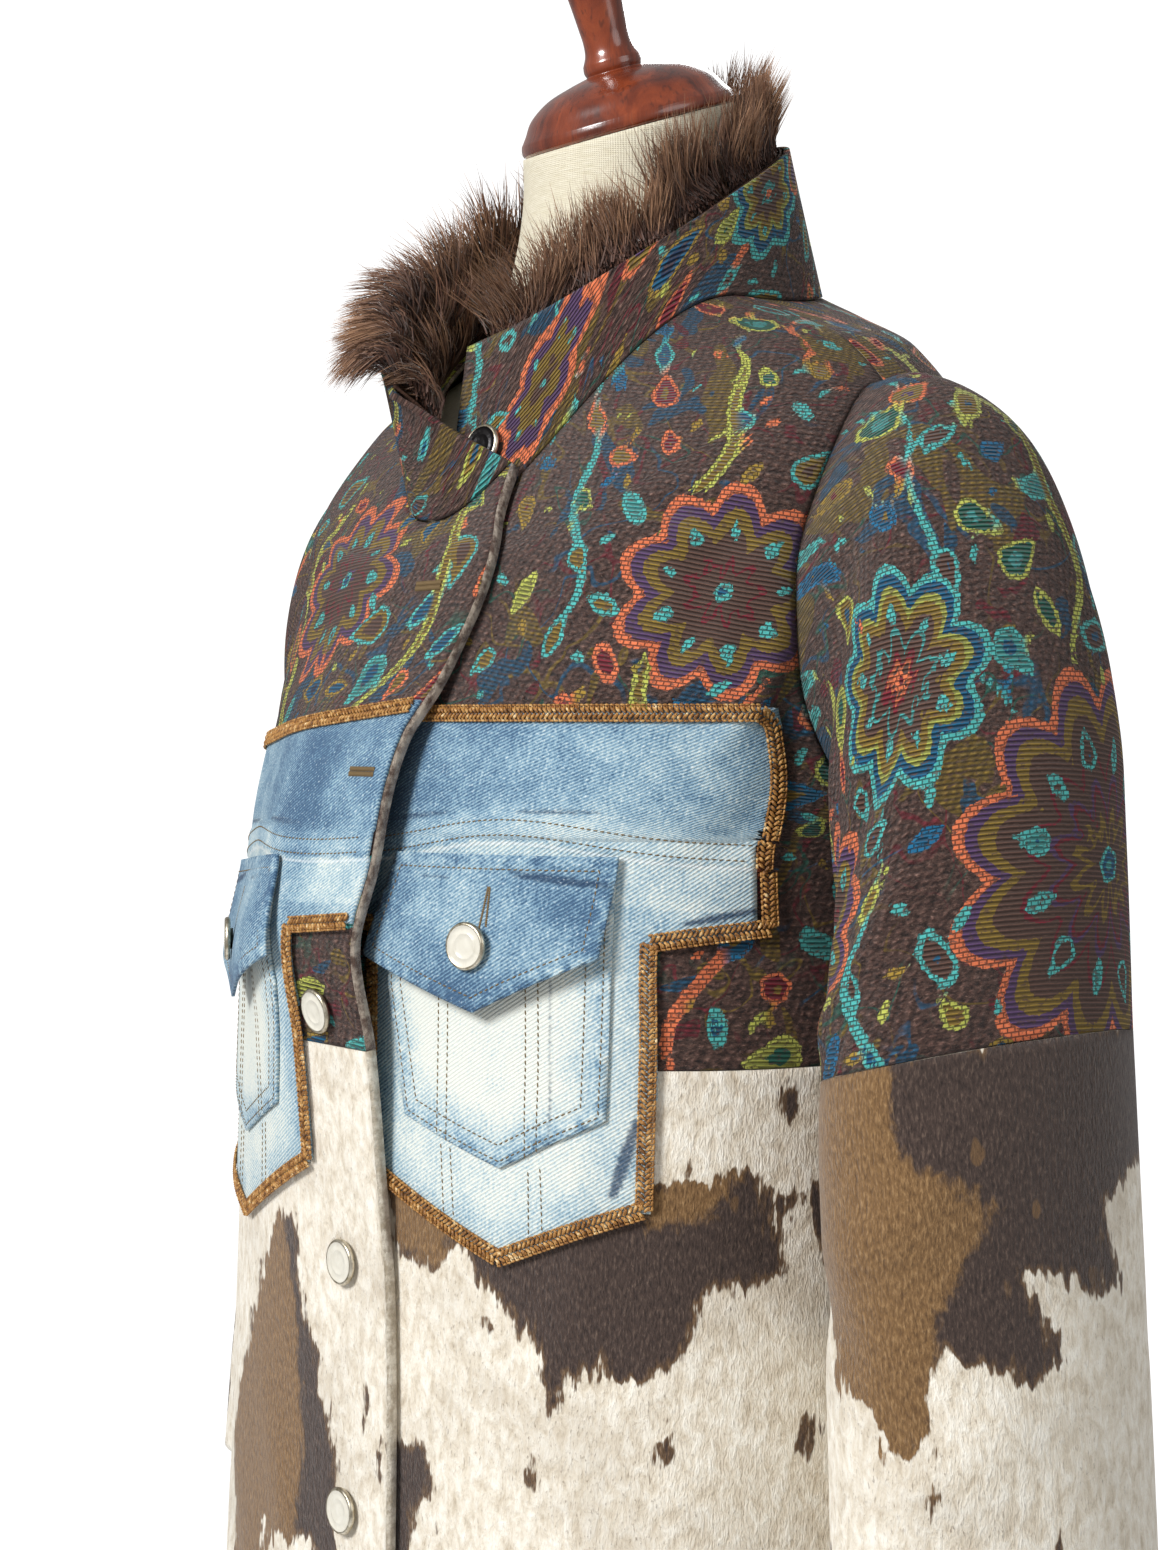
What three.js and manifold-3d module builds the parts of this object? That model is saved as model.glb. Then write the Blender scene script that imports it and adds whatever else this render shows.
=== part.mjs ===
// A patchwork coat of tapestry, denim and printed faux hide on a dress form. Faux fur lines its stand collar.
// Millimetres, +Z up, the wearer's left at +X, the coat's front at -Y. The origin is on the floor at the pole.
import * as THREE from "three";
import { mergeVertices } from "three/addons/utils/BufferGeometryUtils.js";
import Module from "manifold-3d";

const wasm = await Module();
wasm.setup();

// Cloth thicknesses and the clearance at every seam
const TAPESTRY = 3;
const HIDE = 4;
const SEAM = 0.3;

// Heights on the side seam line
const HEM = 612;
const YOKE_SEAM = 1055;
const ARMPIT = 1150;
const SHOULDER = 1350;
const NECKLINE = 1400;

// Girth lines of the coat from hem to neckline. side: height at the side. half: half width.
// front, back: depths. drop: how far the line sinks at the centre front. rise: how far it climbs at the centre
// back. square: 2 for an ellipse.
const GIRTHS = [
  { side: HEM, half: 211, front: 173, back: 146, drop: 0, rise: 0, square: 2.5 },
  { side: 760, half: 204, front: 170, back: 141, drop: 0, rise: 0, square: 2.5 },
  { side: 900, half: 197, front: 166, back: 136, drop: 0, rise: 0, square: 2.5 },
  { side: YOKE_SEAM, half: 190, front: 162, back: 131, drop: 0, rise: 0, square: 2.5 },
  { side: ARMPIT, half: 188, front: 158, back: 129, drop: 0, rise: 0, square: 2.5 },
  { side: 1205, half: 188, front: 146, back: 127, drop: -3, rise: 0, square: 2.5 },
  { side: 1262, half: 188, front: 135, back: 124, drop: -18, rise: 8, square: 2.5 },
  { side: 1330, half: 186, front: 127, back: 120, drop: -60, rise: 12, square: 2.4 },
  { side: 1372, half: 150, front: 121, back: 114, drop: -93, rise: 18, square: 2.3 },
  { side: 1389, half: 112, front: 118, back: 108, drop: -106, rise: 20, square: 2.2 },
  { side: NECKLINE, half: 84, front: 114, back: 103, drop: -112, rise: 20, square: 2.1 },
];

// The front opening. right, left: where each front's edge lies across. lift: how far the right stands off.
const OPENING = [
  { side: HEM, right: 42, left: -24, lift: 8 },
  { side: 842, right: 41, left: -24, lift: 8 },
  { side: 946, right: 37, left: -24, lift: 8 },
  { side: 989, right: 33, left: -24, lift: 10 },
  { side: 1055, right: 32, left: -24, lift: 18 },
  { side: 1100, right: 30, left: -24, lift: 26 },
  { side: 1137, right: 34, left: -24, lift: 20 },
  { side: 1191, right: 37, left: -22, lift: 16 },
  { side: 1223, right: 46, left: -18, lift: 10 },
  { side: 1267, right: 56, left: -12, lift: 8 },
  { side: 1330, right: 60, left: -6, lift: 8 },
  { side: NECKLINE, right: 49, left: 0, lift: 8 },
];
// How far to the wearer's right of the centre the right front starts to lift
const LIFT_REACH = 110;

// Soft folds of the lower coat. angle: round the body. spread: degrees. deep: outward, below 0 for a trough.
// low, high: between these heights it fades out upwards.
const FOLDS = [
  { angle: 38, spread: 9, deep: 5, low: 560, high: 930 },
  { angle: 66, spread: 8, deep: -5, low: 580, high: 980 },
  { angle: 112, spread: 10, deep: 5, low: 560, high: 940 },
  { angle: 150, spread: 12, deep: -6, low: 560, high: 1000 },
  { angle: 196, spread: 12, deep: 6, low: 560, high: 960 },
  { angle: 232, spread: 10, deep: -5, low: 560, high: 1010 },
  { angle: 262, spread: 9, deep: 4, low: 560, high: 920 },
  { angle: 316, spread: 24, deep: 8, low: 1080, high: 1330 },
];

// Half the armhole's width, in degrees round the body
const ARMHOLE_SPREAD = 18.5;

// The left sleeve's rings. along: distance from the armhole. x, y, z: centre. out, fore: half sizes.
// tilt: how far the ring's outer end points up, in degrees.
const SLEEVE_RINGS = [
  { along: 0, x: 184, y: 0, z: 1250, out: 100, fore: 62, tilt: 92 },
  { along: 14, x: 199, y: -1, z: 1248, out: 103, fore: 65, tilt: 87 },
  { along: 35, x: 215, y: -3, z: 1236, out: 99, fore: 67, tilt: 79 },
  { along: 59, x: 226, y: -6, z: 1214, out: 90, fore: 70, tilt: 71 },
  { along: 87, x: 235, y: -9, z: 1187, out: 80, fore: 71, tilt: 61 },
  { along: 118, x: 240, y: -13, z: 1157, out: 70, fore: 71, tilt: 49 },
  { along: 154, x: 243, y: -16, z: 1121, out: 60, fore: 72, tilt: 34 },
  { along: 199, x: 245, y: -19, z: 1076, out: 54, fore: 75, tilt: 19 },
  { along: 235, x: 247, y: -21, z: 1040, out: 53, fore: 77, tilt: 11 },
  { along: 276, x: 250, y: -22, z: 999, out: 53, fore: 77, tilt: 5 },
  { along: 376, x: 257, y: -24, z: 899, out: 54, fore: 77, tilt: 1 },
  { along: 497, x: 265, y: -28, z: 778, out: 55, fore: 78, tilt: 0 },
];
const SLEEVE_SIDES = 20;
const SLEEVE_BLEND = 60;
const SLEEVE_SEAM = 212;
const CUFF = 490;
// How far back the right sleeve hangs from the left one's line
const RIGHT_SWING = 36;
const SWING_REACH = 120;

// The stand collar's top edge, by its turn round the neck from the left front's end to the right front's
const COLLAR_EDGE = [
  { turn: 0, x: -7, y: -95, z: 1378 },
  { turn: 25, x: 34, y: -88, z: 1388 },
  { turn: 60, x: 66, y: -52, z: 1416 },
  { turn: 95, x: 77, y: 0, z: 1450 },
  { turn: 135, x: 56, y: 56, z: 1482 },
  { turn: 180, x: 0, y: 86, z: 1497 },
  { turn: 225, x: -57, y: 57, z: 1482 },
  { turn: 265, x: -79, y: 0, z: 1451 },
  { turn: 300, x: -73, y: -58, z: 1416 },
  { turn: 335, x: -57, y: -108, z: 1380 },
  { turn: 383, x: -9, y: -138, z: 1350 },
];
const COLLAR_GAP = 0.9;

// Patches on the fronts as [across, height] corners of the left one. The right one is its mirror image, and
// hangs lower towards the side by RIGHT_SLOPE.
const RIGHT_SLOPE = 0.1;
const DENIM_THICK = 1.5;
const DENIM = [
  [-60, 1204], [177, 1204], [180, 1114], [152, 1108], [153, 998],
  [97, 973], [17, 1003], [15, 1110], [-60, 1110],
];
const POCKET = [[35, 1142], [28, 1085], [42, 1028], [97, 1011], [140, 1034], [141, 1142]];
const FLAP = [[33, 1143], [20, 1097], [90, 1077], [142, 1102], [143, 1144]];
// The flap's foot stands off the pocket by FLAP_STAND, FLAP_DEEP below its top.
const FLAP_TOP = 1143;
const FLAP_STAND = 7;
const FLAP_DEEP = 55;
const BRAID_WIDE = 8;
const BRAID_THICK = 2.4;

// The form's neck: height of its top on the axis, and degrees that the top leans forward
const NECK_TOP = 1494;
const NECK_LEAN = 19.5;

// The form stands this far off the coat's inner face, and further at some heights by a room of its own
const FORM_ROOM = [
  { side: 655, room: 62 },
  { side: 720, room: 40 },
  { side: 820, room: 30 },
  { side: 930, room: 38 },
  { side: 1020, room: 46 },
  { side: 1110, room: 30 },
  { side: 1200, room: 12 },
  { side: 1262, room: 5 },
  { side: 1300, room: 3.2 },
  { side: 1325, room: 2.6 },
  { side: 1345, room: 2.4 },
  { side: 1360, room: 2.4 },
  { side: 1372, room: 2.2 },
  { side: 1384, room: 2.2 },
  { side: 1393, room: 2.6 },
  { side: 1399, room: 5 },
];

const FORM_GAP = 0.8;
const FORM_SIDES = 40;
// The neck over the coat. share: how much of the ring is round. top: how far below the neck's top it lies.
const NECK_RINGS = [
  { share: 0.45, radius: 54, top: 76 },
  { share: 0.75, radius: 54, top: 58 },
  { share: 0.93, radius: 53.5, top: 40 },
  { share: 1, radius: 53, top: 22 },
  { share: 1, radius: 53, top: 0 },
];

// Profiles of turned parts as [radius, height]
const CAP = [
  [0, 0], [53, 0], [54.5, 2], [54.5, 5], [51, 10], [46, 17], [36, 23.5], [14, 29.5], [14.5, 35], [12, 40],
  [12, 52], [15.5, 84], [14, 92], [22, 101], [25, 111], [23, 123], [13, 133], [0, 137],
];
const POLE = [
  [0, 33.3], [22, 33.3], [22, 40], [15, 52], [14, 80], [14, 600], [17, 618], [17, 654.7], [0, 654.7],
];
const BASE = [[0, 0], [196, 0], [200, 4], [200, 12], [192, 19], [150, 24], [60, 29], [34, 33], [0, 33]];
const BUTTON = [[0, 0], [5, 0], [5, 1.4], [10, 1.4], [10.4, 2.8], [8.8, 4.2], [7.4, 3.4], [0, 3.6]];
const BUTTON_GAP = 0.3;
const FRONT_BUTTONS = [[13, 734], [11, 848], [7, 958], [2, 1071]];
const FLAP_BUTTON = [87, 1105];
const NECK_BUTTON = [12, 0.36];

const rad = THREE.MathUtils.degToRad;
const deg = THREE.MathUtils.radToDeg;
const clamp01 = (t) => Math.min(1, Math.max(0, t));
const smooth = (t) => clamp01(t) ** 2 * (3 - 2 * clamp01(t));
const mix = (a, b, t) => a + (b - a) * t;
const steps = (from, to, count) => Array.from({ length: count + 1 }, (_, i) => mix(from, to, i / count));

// Every column of a table at a key between its rows, on a smooth curve through them.
function rowAt(rows, key, value) {
  const last = rows.length - 1;
  let k = 0;
  while (k < last - 1 && value > rows[k + 1][key]) k++;
  const span = rows[k + 1][key] - rows[k][key];
  const t = (value - rows[k][key]) / span;
  const slope = (i, name) => {
    const [a, b] = [rows[Math.max(0, i - 1)], rows[Math.min(last, i + 1)]];
    return ((b[name] - a[name]) / (b[key] - a[key])) * span;
  };
  const out = {};
  for (const name of Object.keys(rows[0])) {
    const [p, q] = [rows[k][name], rows[k + 1][name]];
    const [m, n] = [slope(k, name), slope(k + 1, name)];
    out[name] = p + t * m + t * t * (3 * (q - p) - 2 * m - n) + t ** 3 * (2 * (p - q) + m + n);
  }
  return out;
}

// The coat's body without folds, at an angle round it from the centre front and a height on the side seam
function girthPoint(angle, side) {
  const g = rowAt(GIRTHS, "side", side);
  const [across, back] = [Math.sin(rad(angle)), -Math.cos(rad(angle))];
  const depth = back < 0 ? g.front : g.back;
  const sum = (Math.abs(across) / g.half) ** g.square + (Math.abs(back) / depth) ** g.square;
  const reach = sum ** (-1 / g.square);
  const y = reach * back;
  return new THREE.Vector3(reach * across, y, side + (back < 0 ? g.drop : g.rise) * (y / depth) ** 2);
}

// The outward normal of a surface of two parameters, the first running towards the wearer's left in front
function normalOf(pointAt, u, v, du, dv) {
  const across = pointAt(u + du, v).sub(pointAt(u - du, v));
  const up = pointAt(u, v + dv).sub(pointAt(u, v - dv));
  return across.cross(up).normalize();
}

const girthNormal = (angle, side) => normalOf(girthPoint, angle, side, 0.5, 1);

function foldHeight(angle, side) {
  const around = ((angle % 360) + 360) % 360;
  return FOLDS.reduce((sum, f) => {
    const fade = 1 - smooth((side - f.low) / (f.high - f.low));
    return sum + f.deep * fade * Math.exp(-(((around - f.angle) / f.spread) ** 2));
  }, 0);
}

// The coat's outer face, moved out by a height over it
function bodyPoint(angle, side, height = 0) {
  const out = foldHeight(angle, side) + height;
  return girthPoint(angle, side).addScaledVector(girthNormal(angle, side), out);
}

const ARMHOLE_MIDDLE = (ARMPIT + SHOULDER) / 2;
const ARMHOLE_HALF = (SHOULDER - ARMPIT) / 2;

// How far from the side seam line a front or the back ends: 0, or more beside the armhole
function sideAngle(side) {
  const cosine = (side - ARMHOLE_MIDDLE) / ARMHOLE_HALF;
  return Math.abs(cosine) < 1 ? ARMHOLE_SPREAD * Math.sqrt(1 - cosine * cosine) : 0;
}

const edgeAngle = (across, side) => deg(Math.atan2(across, rowAt(GIRTHS, "side", side).front));
const seamAngle = (side) => deg(SEAM / 2 / rowAt(GIRTHS, "side", side).half);

// How far the right front stands off the body at an angle
function liftAt(angle, side) {
  const o = rowAt(OPENING, "side", side);
  const across = girthPoint(angle, side).x;
  return o.lift * smooth((across + LIFT_REACH) / (o.left + LIFT_REACH));
}

// Each panel's outer face, from its front or left edge to its far edge as t goes from 0 to 1.
const leftFront = (t, side) => {
  const from = edgeAngle(rowAt(OPENING, "side", side).left, side);
  return bodyPoint(mix(from, 90 - sideAngle(side) - seamAngle(side), t), side);
};
const rightFront = (t, side) => {
  const from = edgeAngle(rowAt(OPENING, "side", side).right, side);
  const angle = mix(from, -90 + sideAngle(side) + seamAngle(side), t);
  return bodyPoint(angle, side, liftAt(angle, side));
};
const backPanel = (t, side) => {
  const trim = 90 + sideAngle(side) + seamAngle(side);
  return bodyPoint(mix(trim, 360 - trim, t), side);
};

const armholeSide = (theta) => ARMHOLE_MIDDLE + ARMHOLE_HALF * Math.cos(rad(theta));

// The left armhole's edge at an angle round the sleeve: 0 on the shoulder, 90 at the front.
function armholePoint(theta) {
  const side = armholeSide(theta);
  const point = bodyPoint(90 - ARMHOLE_SPREAD * Math.sin(rad(theta)), side);
  const inward = girthPoint(90, ARMHOLE_MIDDLE).sub(point).setX(0).normalize();
  return point.addScaledVector(inward, SEAM);
}

function sleeveRing(theta, along) {
  const g = rowAt(SLEEVE_RINGS, "along", along);
  const [out, fore, lean] = [g.out * Math.cos(rad(theta)), g.fore * Math.sin(rad(theta)), rad(g.tilt)];
  return new THREE.Vector3(g.x + out * Math.cos(lean), g.y - fore, g.z + out * Math.sin(lean));
}

// A sleeve's outer face on the wearer's left, joined smoothly to the armhole and swung back by an amount
function sleevePoint(theta, along, swing) {
  const fade = 1 - smooth(along / SLEEVE_BLEND);
  const shift = armholePoint(theta).sub(sleeveRing(theta, 0));
  const point = sleeveRing(theta, along).addScaledVector(shift, fade);
  point.y += swing * smooth(along / SWING_REACH);
  return point;
}

// The collar's outer face. turn: degrees round the neck from the left front. rise: 0 at the neckline, 1 on top
function collarPoint(turn, rise) {
  const height = turn > 180 ? liftAt(turn - 360, NECKLINE) : 0;
  const base = bodyPoint(turn, NECKLINE, height);
  base.z += COLLAR_GAP;
  const top = rowAt(COLLAR_EDGE, "turn", turn);
  return base.lerp(new THREE.Vector3(top.x, top.y, top.z), rise);
}

const collarNormal = (turn, rise) => normalOf(collarPoint, turn, rise, 1, 0.02);

// Geometry from positions and triangles
function indexed(positions, triangles) {
  const geometry = new THREE.BufferGeometry();
  geometry.setAttribute("position", new THREE.BufferAttribute(new Float32Array(positions), 3));
  geometry.setIndex(new THREE.BufferAttribute(new Uint32Array(triangles), 1));
  return geometry;
}

// The step along a panel, as a share of its width, that its normals are measured over
const SHARE_STEP = 0.004;

// A closed sheet between two offsets from a surface. Its first parameter may go all round.
function sheet(pointAt, us, vs, low, high, du, round = false) {
  const positions = [];
  const columns = round ? us.length - 1 : us.length;
  for (const offset of [low, high]) {
    for (let i = 0; i < columns; i++) {
      for (const v of vs) {
        const height = typeof offset === "function" ? offset(v) : offset;
        const point = pointAt(us[i], v).addScaledVector(normalOf(pointAt, us[i], v, du, 1), height);
        positions.push(...point.toArray());
      }
    }
  }
  const index = (layer, i, j) => (layer * columns + (i % columns)) * vs.length + j;
  const faces = [];
  const quad = (a, b, c, d) => faces.push(a, b, c, a, c, d);
  for (let i = 0; i < us.length - 1; i++) {
    for (let j = 0; j < vs.length - 1; j++) {
      quad(index(1, i, j), index(1, i + 1, j), index(1, i + 1, j + 1), index(1, i, j + 1));
      faces.push(index(0, i, j), index(0, i + 1, j + 1), index(0, i + 1, j));
      faces.push(index(0, i, j), index(0, i, j + 1), index(0, i + 1, j + 1));
    }
    const top = vs.length - 1;
    quad(index(0, i, 0), index(0, i + 1, 0), index(1, i + 1, 0), index(1, i, 0));
    quad(index(1, i, top), index(1, i + 1, top), index(0, i + 1, top), index(0, i, top));
  }
  for (let j = 0; !round && j < vs.length - 1; j++) {
    const end = us.length - 1;
    quad(index(0, end, j), index(0, end, j + 1), index(1, end, j + 1), index(1, end, j));
    quad(index(1, 0, j), index(1, 0, j + 1), index(0, 0, j + 1), index(0, 0, j));
  }
  return indexed(positions, faces);
}

// The fur's section, from its lower end round. off: out from the collar's outer face. rise: height up it.
const FUR_SECTION = [
  { off: -4.1, rise: 0.12 },
  { off: -6.5, rise: 0.12 },
  { off: -11, rise: 0.5 },
  { off: -17, rise: 0.95 },
  { off: -18, rise: 1.2 },
  { off: -12, rise: 1.42 },
  { off: -3, rise: 1.5 },
  { off: 6, rise: 1.42 },
  { off: 9, rise: 1.2 },
  { off: 5, rise: 1.035 },
  { off: -4.2, rise: 1.016 },
  { off: -4.6, rise: 0.55 },
];
const FUR_CORE = { off: -10, rise: 1 };
// Where the fur starts up the collar, all round and, past a turn of FUR_END, at its outer end
const FUR_START = 0.12;
const FUR_END_START = 0.55;
const FUR_END = 335;
const FUR_END_REACH = 30;

// The collar's fur as one band, closed at both ends by triangles about its section's core.
function furBand(turns) {
  const place = (turn, { off, rise }) => {
    const low = mix(FUR_START, FUR_END_START, smooth((turn - FUR_END) / FUR_END_REACH));
    const height = rise < 1 ? low + ((rise - FUR_START) * (1 - low)) / (1 - FUR_START) : rise;
    return collarPoint(turn, height).addScaledVector(collarNormal(turn, height), off);
  };
  const positions = turns.flatMap((turn) => FUR_SECTION.flatMap((row) => place(turn, row).toArray()));
  const count = FUR_SECTION.length;
  const last = (turns.length - 1) * count;
  const core = turns.length * count;
  positions.push(...place(turns[0], FUR_CORE).toArray(), ...place(turns.at(-1), FUR_CORE).toArray());
  const faces = [];
  for (let k = 0; k < count; k++) {
    const next = (k + 1) % count;
    for (let first = 0; first < last; first += count) {
      faces.push(first + k, first + next, first + next + count);
      faces.push(first + k, first + next + count, first + k + count);
    }
    faces.push(core, next, k, core + 1, last + k, last + next);
  }
  return indexed(positions, faces);
}

// An outline moved out by a distance, with its corners kept sharp.
function grown(outline, distance) {
  const area = outline.reduce((sum, [x, z], i) => {
    const [nx, nz] = outline[(i + 1) % outline.length];
    return sum + x * nz - nx * z;
  }, 0);
  const out = Math.sign(area) * distance;
  return outline.map((corner, i) => {
    const before = outline[(i + outline.length - 1) % outline.length];
    const after = outline[(i + 1) % outline.length];
    const side = (a, b) => {
      const length = Math.hypot(b[0] - a[0], b[1] - a[1]);
      return [(b[1] - a[1]) / length, (a[0] - b[0]) / length];
    };
    const [m, n] = [side(before, corner), side(corner, after)];
    const scale = out / (1 + m[0] * n[0] + m[1] * n[1]);
    return [corner[0] + (m[0] + n[0]) * scale, corner[1] + (m[1] + n[1]) * scale];
  });
}

// A closed mesh as a solid that can be cut
function solid(geometry) {
  const bare = geometry.clone();
  bare.deleteAttribute("normal");
  bare.deleteAttribute("uv");
  const merged = mergeVertices(bare, 1e-4);
  const vertProperties = merged.attributes.position.array;
  const triVerts = new Uint32Array(merged.index.array);
  return new wasm.Manifold(new wasm.Mesh({ numProp: 3, vertProperties, triVerts }));
}

// A solid standing through the front of the coat, with an outline as seen from the front
const PRISM_DEPTH = 400;
function prism(outline) {
  const shape = new THREE.Shape(outline.map(([x, z]) => new THREE.Vector2(x, z)));
  const settings = { depth: PRISM_DEPTH, bevelEnabled: false };
  return solid(new THREE.ExtrudeGeometry(shape, settings).rotateX(Math.PI / 2));
}

// The part of a front's surface inside a prism, between two heights over the cloth
function cutLayer(pointAt, cutter, low, high) {
  const layer = sheet(pointAt, FRONT_STEPS, PATCH_SIDES, low, high, SHARE_STEP);
  const cut = solid(layer).intersect(cutter).getMesh();
  return indexed(cut.vertProperties, cut.triVerts);
}

// The angle round the body at which a front lies a distance across
function facing(across, side) {
  let [low, high] = [0, 90];
  while (high - low > 0.01) {
    const middle = (low + high) / 2;
    if (girthPoint(middle, side).x < Math.abs(across)) low = middle;
    else high = middle;
  }
  return Math.sign(across) * low;
}

// A turned solid from a profile of [radius, height] that starts and ends on its axis
function turned(profile, sides) {
  const points = profile.map(([radius, height]) => new THREE.Vector2(radius, height));
  const lathe = new THREE.LatheGeometry(points, sides).rotateX(Math.PI / 2);
  lathe.deleteAttribute("normal");
  lathe.deleteAttribute("uv");
  return mergeVertices(lathe, 1e-4);
}

// The form's body and neck: rings under the coat, then rings that narrow to the neck and its leaning top
function formBody() {
  const rings = [];
  const turns = steps(0, 360, FORM_SIDES).slice(0, -1);
  for (const { side, room } of FORM_ROOM) {
    const inset = -(TAPESTRY + FORM_GAP + room);
    rings.push(turns.map((turn) => {
      const point = girthPoint(turn, side).addScaledVector(girthNormal(turn, side), inset);
      return side < ARMPIT ? point.setZ(side) : point;
    }));
  }
  const collarLine = rings.at(-1);
  for (const { share, radius, top } of NECK_RINGS) {
    rings.push(turns.map((turn, i) => {
      const [x, y] = [radius * Math.sin(rad(turn)), -radius * Math.cos(rad(turn))];
      const ring = new THREE.Vector3(x, y, NECK_TOP - top + y * Math.tan(rad(NECK_LEAN)));
      return collarLine[i].clone().lerp(ring, share);
    }));
  }
  const positions = rings.flat().flatMap((point) => point.toArray());
  const add = (sum, point) => sum.add(point);
  const centreOf = (ring) => ring.reduce(add, new THREE.Vector3()).divideScalar(ring.length);
  positions.push(...centreOf(rings[0]).toArray(), ...centreOf(rings.at(-1)).toArray());
  const faces = [];
  const bottom = rings.length * FORM_SIDES;
  const last = (rings.length - 1) * FORM_SIDES;
  for (let i = 0; i < FORM_SIDES; i++) {
    const next = (i + 1) % FORM_SIDES;
    for (let k = 0; k < rings.length - 1; k++) {
      const [a, b] = [k * FORM_SIDES + i, k * FORM_SIDES + next];
      faces.push(a, b, b + FORM_SIDES, a, b + FORM_SIDES, a + FORM_SIDES);
    }
    faces.push(bottom, next, i, bottom + 1, last + i, last + next);
  }
  return indexed(positions, faces);
}

const coat = new THREE.Group();
const materials = {};
const finish = (name, color, roughness, metalness = 0) => {
  materials[name] = new THREE.MeshStandardMaterial({ name, color, roughness, metalness });
};
finish("tapestry", "#4f3a30", 0.95);
finish("hide", "#cdbfa8", 0.9);
finish("fur", "#4a3124", 0.95);
finish("denim", "#9db9d3", 0.85);
finish("braid", "#a57a3c", 0.7);
finish("button", "#d9d2c3", 0.35, 0.6);
finish("linen", "#e8e2cf", 0.9);
finish("wood", "#7a3416", 0.35);

function add(name, geometry, material) {
  const mesh = new THREE.Mesh(geometry, materials[material]);
  mesh.name = name;
  coat.add(mesh);
  return mesh;
}

// Swaps left and right, and turns the faces back out
function mirrored(geometry) {
  const copy = geometry.clone().scale(-1, 1, 1);
  const order = copy.index.array;
  for (let i = 0; i < order.length; i += 3) [order[i], order[i + 1]] = [order[i + 1], order[i]];
  return copy;
}

// The coat's panels
const SHOULDER_SIDES = [1368, 1385];
const halfSeam = SEAM / 2;
const armholeSides = steps(180, 0, SLEEVE_SIDES / 2).map(armholeSide);
const YOKE_SIDES = [
  ...steps(YOKE_SEAM + halfSeam, ARMPIT, 4).slice(0, -1),
  ...armholeSides,
  ...SHOULDER_SIDES,
  NECKLINE,
];
const SKIRT_SIDES = steps(HEM, YOKE_SEAM - halfSeam, 10);
const PATCH_SIDES = [...SKIRT_SIDES.slice(-3), ...YOKE_SIDES.slice(0, -6)];
const FRONT_STEPS = steps(0, 1, 10);
const BACK_STEPS = steps(0, 1, 14);

const reversed = (pointAt) => (t, side) => pointAt(1 - t, side);
const panels = [
  ["front_left", leftFront, FRONT_STEPS],
  ["front_right", reversed(rightFront), FRONT_STEPS],
  ["back", backPanel, BACK_STEPS],
];
for (const [name, pointAt, across] of panels) {
  add(`${name}_yoke`, sheet(pointAt, across, YOKE_SIDES, -TAPESTRY, 0, SHARE_STEP), "tapestry");
  add(`${name}_skirt`, sheet(pointAt, across, SKIRT_SIDES, -HIDE, 0, SHARE_STEP), "hide");
}

// The sleeves, by stations along them from the armhole
const around = steps(0, 360, SLEEVE_SIDES);
const upperStations = [0, 12, 30, 52, 78, 106, 134, 160, 186, SLEEVE_SEAM - halfSeam];
const lowerStations = steps(SLEEVE_SEAM + halfSeam, CUFF, 6);
for (const [hand, swing] of [["left", 0], ["right", RIGHT_SWING]]) {
  const place = (geometry) => (hand === "left" ? geometry : mirrored(geometry));
  const pointAt = (turn, v) => sleevePoint(-turn, -v, swing);
  const upward = (stations) => stations.map((along) => -along).reverse();
  const tube = (stations, thick) => sheet(pointAt, around, upward(stations), -thick, 0, 1, true);
  add(`sleeve_${hand}_upper`, place(tube(upperStations, TAPESTRY)), "tapestry");
  add(`sleeve_${hand}_lower`, place(tube(lowerStations, HIDE)), "hide");
}

// The collar and the fur inside and over it, which ends FUR_INSET degrees short of the collar's ends
const COLLAR_STEPS = 36;
const FUR_INSET = 3;
const [collarStart, collarEnd] = [COLLAR_EDGE[0].turn, COLLAR_EDGE.at(-1).turn];
const collarTurns = steps(collarStart, collarEnd, COLLAR_STEPS);
add("collar", sheet(collarPoint, collarTurns, [0, 0.33, 0.66, 1], -TAPESTRY, 0, 1), "tapestry");
add("collar_fur", furBand(steps(collarStart + FUR_INSET, collarEnd - FUR_INSET, COLLAR_STEPS)), "fur");

// Denim, pockets, flaps and braid on each front
const crossed = ([x, z]) => [-x, z - RIGHT_SLOPE * x];
const overDenim = 2 * SEAM + DENIM_THICK;
const overPocket = overDenim + DENIM_THICK + SEAM;
const flapHeight = (hand, side) => {
  const top = hand === "left" ? FLAP_TOP : FLAP_TOP - RIGHT_SLOPE * FLAP_BUTTON[0];
  return overPocket + FLAP_STAND * smooth((top - side) / FLAP_DEEP);
};
for (const hand of ["left", "right"]) {
  const pointAt = hand === "left" ? leftFront : reversed(rightFront);
  const outline = (rows) => (hand === "left" ? rows : rows.map(crossed));
  const layer = (rows, low, high) => cutLayer(pointAt, prism(outline(rows)), low, high);
  add(`denim_${hand}`, layer(DENIM, SEAM, SEAM + DENIM_THICK), "denim");
  add(`pocket_${hand}`, layer(POCKET, overDenim, overDenim + DENIM_THICK), "denim");
  const [under, over] = [0, DENIM_THICK].map((thick) => (side) => flapHeight(hand, side) + thick);
  add(`flap_${hand}`, layer(FLAP, under, over), "denim");
  const [outer, inner] = [BRAID_WIDE / 2, -BRAID_WIDE / 2].map((w) => prism(outline(grown(DENIM, w))));
  const band = cutLayer(pointAt, outer.subtract(inner), overDenim, overDenim + BRAID_THICK);
  add(`braid_${hand}`, band, "braid");
}

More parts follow.
